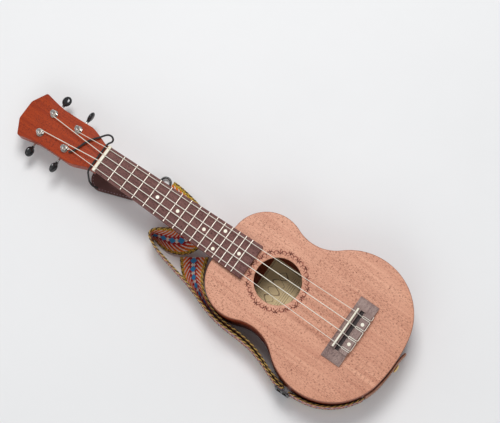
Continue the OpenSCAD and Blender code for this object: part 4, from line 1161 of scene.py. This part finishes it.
def fret_wire():
    """Nickel silver with painted light: a bright painted highlight along its crown, and painted shade on its
    sides below it.
    """
    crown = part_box("frets")[1].z

    def colour(tree):
        _, _, z = parts_of(tree, here(tree))
        # Painted highlight on the crown and painted shade on the sides: the bright colour's share rises over
        # the top 0.32 mm.
        painted_crown_highlight = ramp(tree, z, crown - 0.42 * MM, crown - 0.1 * MM)
        patches = noise(tree, here(tree), 160, 3)
        shine = blend(tree, patches, rgb(0.9, 0.81, 0.72), rgb(0.72, 0.62, 0.53))
        return blend(tree, painted_crown_highlight, rgb(0.26, 0.19, 0.165), shine)
    return new_material(
        "nickel_silver", colour, mottled(1400, 0.32, 0.48),
        speckled(2600, 2), 0.004 * MM, Metallic=1.0)


def smooth_materials():
    """Metals, plastics and the strings' nylon."""
    fret_wire()
    for name, colour, worn, roughness in [
            ("screw_steel", (0.62, 0.61, 0.6), (0.45, 0.43, 0.4), 0.3),
            ("chrome", (0.66, 0.64, 0.61), (0.52, 0.5, 0.46), 0.12),
            ("gear_brass", (0.72, 0.55, 0.27), (0.5, 0.34, 0.14), 0.35),
            ("pin_brass", (0.78, 0.56, 0.22), (0.55, 0.35, 0.12), 0.22),
            ("rivet_steel", (0.8, 0.8, 0.8), (0.6, 0.6, 0.6), 0.16)]:
        smooth_stuff(name, colour, worn, roughness, Metallic=1.0)
    smooth_stuff("ivory_plastic", (0.87, 0.83, 0.7), (0.78, 0.7, 0.52), 0.32)
    smooth_stuff("button_plastic", (0.013, 0.013, 0.014), (0.024, 0.024, 0.026), 0.13, IOR=1.53)
    smooth_stuff("black_plastic", (0.018, 0.018, 0.019), (0.035, 0.035, 0.036), 0.42, 0.02 * MM)
    smooth_stuff("black_metal", (0.018, 0.018, 0.02), (0.04, 0.038, 0.036), 0.28)
    smooth_stuff("nylon", (0.84, 0.8, 0.7), (0.7, 0.65, 0.55), 0.3)


def leather(name, colour, worn, roughness):
    """Smooth-finished leather with cell grain and worn patches."""
    @once
    def grain(tree):
        return use(tree, GROUPS["leather"], {"Vector": here(tree)})

    return new_material(
        name, lambda t: blend(t, ramp(t, grain(t)["Shade"], 0.35, 0.7), rgb(*colour), rgb(*worn)),
        lambda t: ramp(t, grain(t)["Shade"], 0.2, 0.8, roughness, roughness + 0.15),
        lambda t: grain(t)["Height"], 0.12 * MM)


def threads(name, colour, shaded, lay, relief=0.1 * MM, roughness=0.75):
    """A cord of twisted filaments: colour on their crowns and painted shade in the grooves."""
    @once
    def twist(tree):
        return use(tree, GROUPS["thread"], {"Vector": flow(tree), "Lay": lay})

    return new_material(
        name, lambda t: blend(t, twist(t)["Shade"], rgb(*shaded), rgb(*colour)),
        mottled(1200, roughness, roughness + 0.15),
        lambda t: twist(t)["Height"], relief)


def stitching(name, colour, shaded):
    """Waxed thread seen stitch by stitch, with fine filaments along it."""
    return new_material(
        name, lambda t: blend(t, noise(t, here(t), 2200, 3), rgb(*colour), rgb(*shaded)),
        mottled(900, 0.5, 0.75), speckled(4500, 2),
        0.08 * MM)


def woven_strap():
    """A patterned weave that repeats along the strap and mirrors about its middle. From the middle
    out: blue and white diamonds on a red ground, red and then orange with pale slants, and a
    checked yellow border. The pattern steps from thread to thread."""
    repeat, weft, warp = 10.8 * MM, 0.6 * MM, 0.5 * MM

    def colour(tree):
        along, across, _ = parts_of(tree, flow(tree))
        a = calc(tree, "SNAP", along, weft)
        c = calc(tree, "SNAP", calc(tree, "ABSOLUTE", across), warp)
        pale, blue = rgb(0.85, 0.74, 0.66), rgb(0.03, 0.3, 0.62)
        wave = calc(tree, "PINGPONG", a, repeat / 2)
        inner = calc(tree, "ADD", c, wave)
        outer = calc(tree, "SUBTRACT", calc(tree, "ADD", c, repeat / 2), wave)
        middle = blend(tree, calc(tree, "LESS_THAN", inner, 3.4 * MM), rgb(0.4, 0.02, 0.015), pale)
        middle = blend(tree, calc(tree, "LESS_THAN", outer, 4.4 * MM), middle, blue)
        slant = calc(tree, "FRACT", calc(tree, "DIVIDE", calc(tree, "ADD", a, c), repeat / 2))
        glow = blend(tree, ramp(tree, c, 6 * MM, 13 * MM), rgb(0.6, 0.02, 0.01), rgb(0.85, 0.2, 0.015))
        slants = blend(tree, calc(tree, "LESS_THAN", slant, 0.32), glow, pale)
        check_a = calc(tree, "GREATER_THAN", calc(tree, "PINGPONG", a, 1.2 * MM), 0.6 * MM)
        check_c = calc(tree, "GREATER_THAN", calc(tree, "PINGPONG", c, 1.0 * MM), 0.5 * MM)
        checked = calc(tree, "ABSOLUTE", calc(tree, "SUBTRACT", check_a, check_c))
        border = blend(tree, checked, rgb(0.88, 0.58, 0.05), rgb(0.07, 0.025, 0.01))
        cloth = blend(tree, calc(tree, "GREATER_THAN", c, 4.6 * MM), middle, slants)
        cloth = blend(tree, calc(tree, "GREATER_THAN", c, 14.2 * MM), cloth, border)
        fuzz = ramp(tree, noise(tree, here(tree), 1500, 2), 0.3, 0.7, 0.75, 1.1)
        return add(tree, "ShaderNodeVectorMath", {0: cloth, "Scale": fuzz}, operation="SCALE")

    def weave(tree):
        along, across, _ = parts_of(tree, flow(tree))
        crossing = calc(tree, "SINE", times(tree, across, 2 * math.pi / warp))
        running = calc(tree, "SINE", times(tree, along, 2 * math.pi / weft))
        return times(tree, crossing, running)

    return new_material("woven_strap", colour, mottled(700, 0.8, 0.95),
                        weave, 0.12 * MM)


def soft_materials():
    """The strap's weave and cords, the leathers, and the threads that stitch them."""
    woven_strap()
    threads("pale_braid", (0.7, 0.47, 0.13), (0.3, 0.16, 0.03), 1.6 * MM)
    threads("dark_braid", (0.1, 0.055, 0.022), (0.03, 0.015, 0.008), 1.6 * MM)
    threads("black_cord", (0.028, 0.026, 0.027), (0.008, 0.008, 0.008), 2.2 * MM, 0.14 * MM, 0.6)
    leather("tan_leather", (0.46, 0.21, 0.13), (0.33, 0.13, 0.07), 0.5)
    leather("dark_leather", (0.12, 0.048, 0.042), (0.065, 0.024, 0.02), 0.45)
    stitching("tan_thread", (0.62, 0.42, 0.24), (0.4, 0.24, 0.12))
    stitching("mauve_thread", (0.42, 0.3, 0.34), (0.22, 0.14, 0.17))


def floor_material():
    """Pale grey card with faint clouds in its shade."""
    return new_material(
        "floor", lambda t: blend(t, noise(t, here(t), 5, 3), rgb(0.83, 0.83, 0.83), rgb(0.79, 0.79, 0.79)),
        mottled(40, 0.7, 0.85), speckled(900),
        0.02 * MM)


# ---------- camera, floor and light ----------

def make_camera():
    """A long lens high over the body, turned so that the neck points up and to the left."""
    right = Vector((0.577644, -0.815889, -0.023938))
    down = Vector((-0.802302, -0.56214, -0.200581))
    ahead = Vector((0.150195, 0.13507, -0.979385))
    data = bpy.data.cameras.new("camera")
    data.lens, data.sensor_width = 107.0, 36.0
    data.dof.use_dof = False
    camera = in_scene("camera", data)
    turn = Matrix((right, -down, -ahead)).transposed().to_4x4()
    camera.matrix_world = Matrix.Translation((-0.21175, -0.11738, 1.75919)) @ turn
    bpy.context.scene.camera = camera


def make_stage():
    """A pale floor just below the back, and soft lights over it."""
    half, floor_z = 3.0, -0.3 * MM
    corners = [(-half, -half, floor_z), (half, -half, floor_z), (half, half, floor_z),
               (-half, half, floor_z)]
    mesh = bpy.data.meshes.new("floor")
    mesh.from_pydata(corners, [], [(0, 1, 2, 3)])
    mesh.materials.append(floor_material())
    floor = in_scene("floor", mesh)
    lamps = [soft_light("key", (0.75, 0.62, 2.05), 0.8, 30.5), soft_light("fill", (-1.6, -0.4, 1.6), 1.6, 9)]
    world = bpy.data.worlds.new("world")
    world.use_nodes = True
    sky = world.node_tree.nodes["Background"]
    sky.inputs["Color"].default_value = (0.95, 0.97, 1.0, 1.0)
    sky.inputs["Strength"].default_value = 0.42
    bpy.context.scene.world = world
    bpy.context.scene.view_settings.view_transform = "Standard"


def soft_light(name, place, size, watts):
    """A square lamp that faces the middle of the instrument."""
    data = bpy.data.lights.new(name, "AREA")
    data.size, data.energy = size, watts
    lamp = in_scene(name, data)
    aim = Vector((0, 0.1, 0)) - Vector(place)
    lamp.matrix_world = Matrix.Translation(place) @ aim.to_track_quat("-Z", "Y").to_matrix().to_4x4()
    return lamp


# ---------- the whole scene ----------

GROUPS.update(wood=wood_figure(), marks=handling_marks(), leather=leather_grain(), thread=twisted_thread())
woods()
smooth_materials()
soft_materials()
paper()
burnt_wood()

make_camera()
make_stage()
make_soundboard()
make_back()
make_sides()
make_rosette()
make_neck()
finish_hard_parts()
make_screws()
make_strings()
make_buttons()
make_strap()
make_tail_tab()
make_head_tab()
make_ring_and_rivet()
lace, lace_path = make_lace()
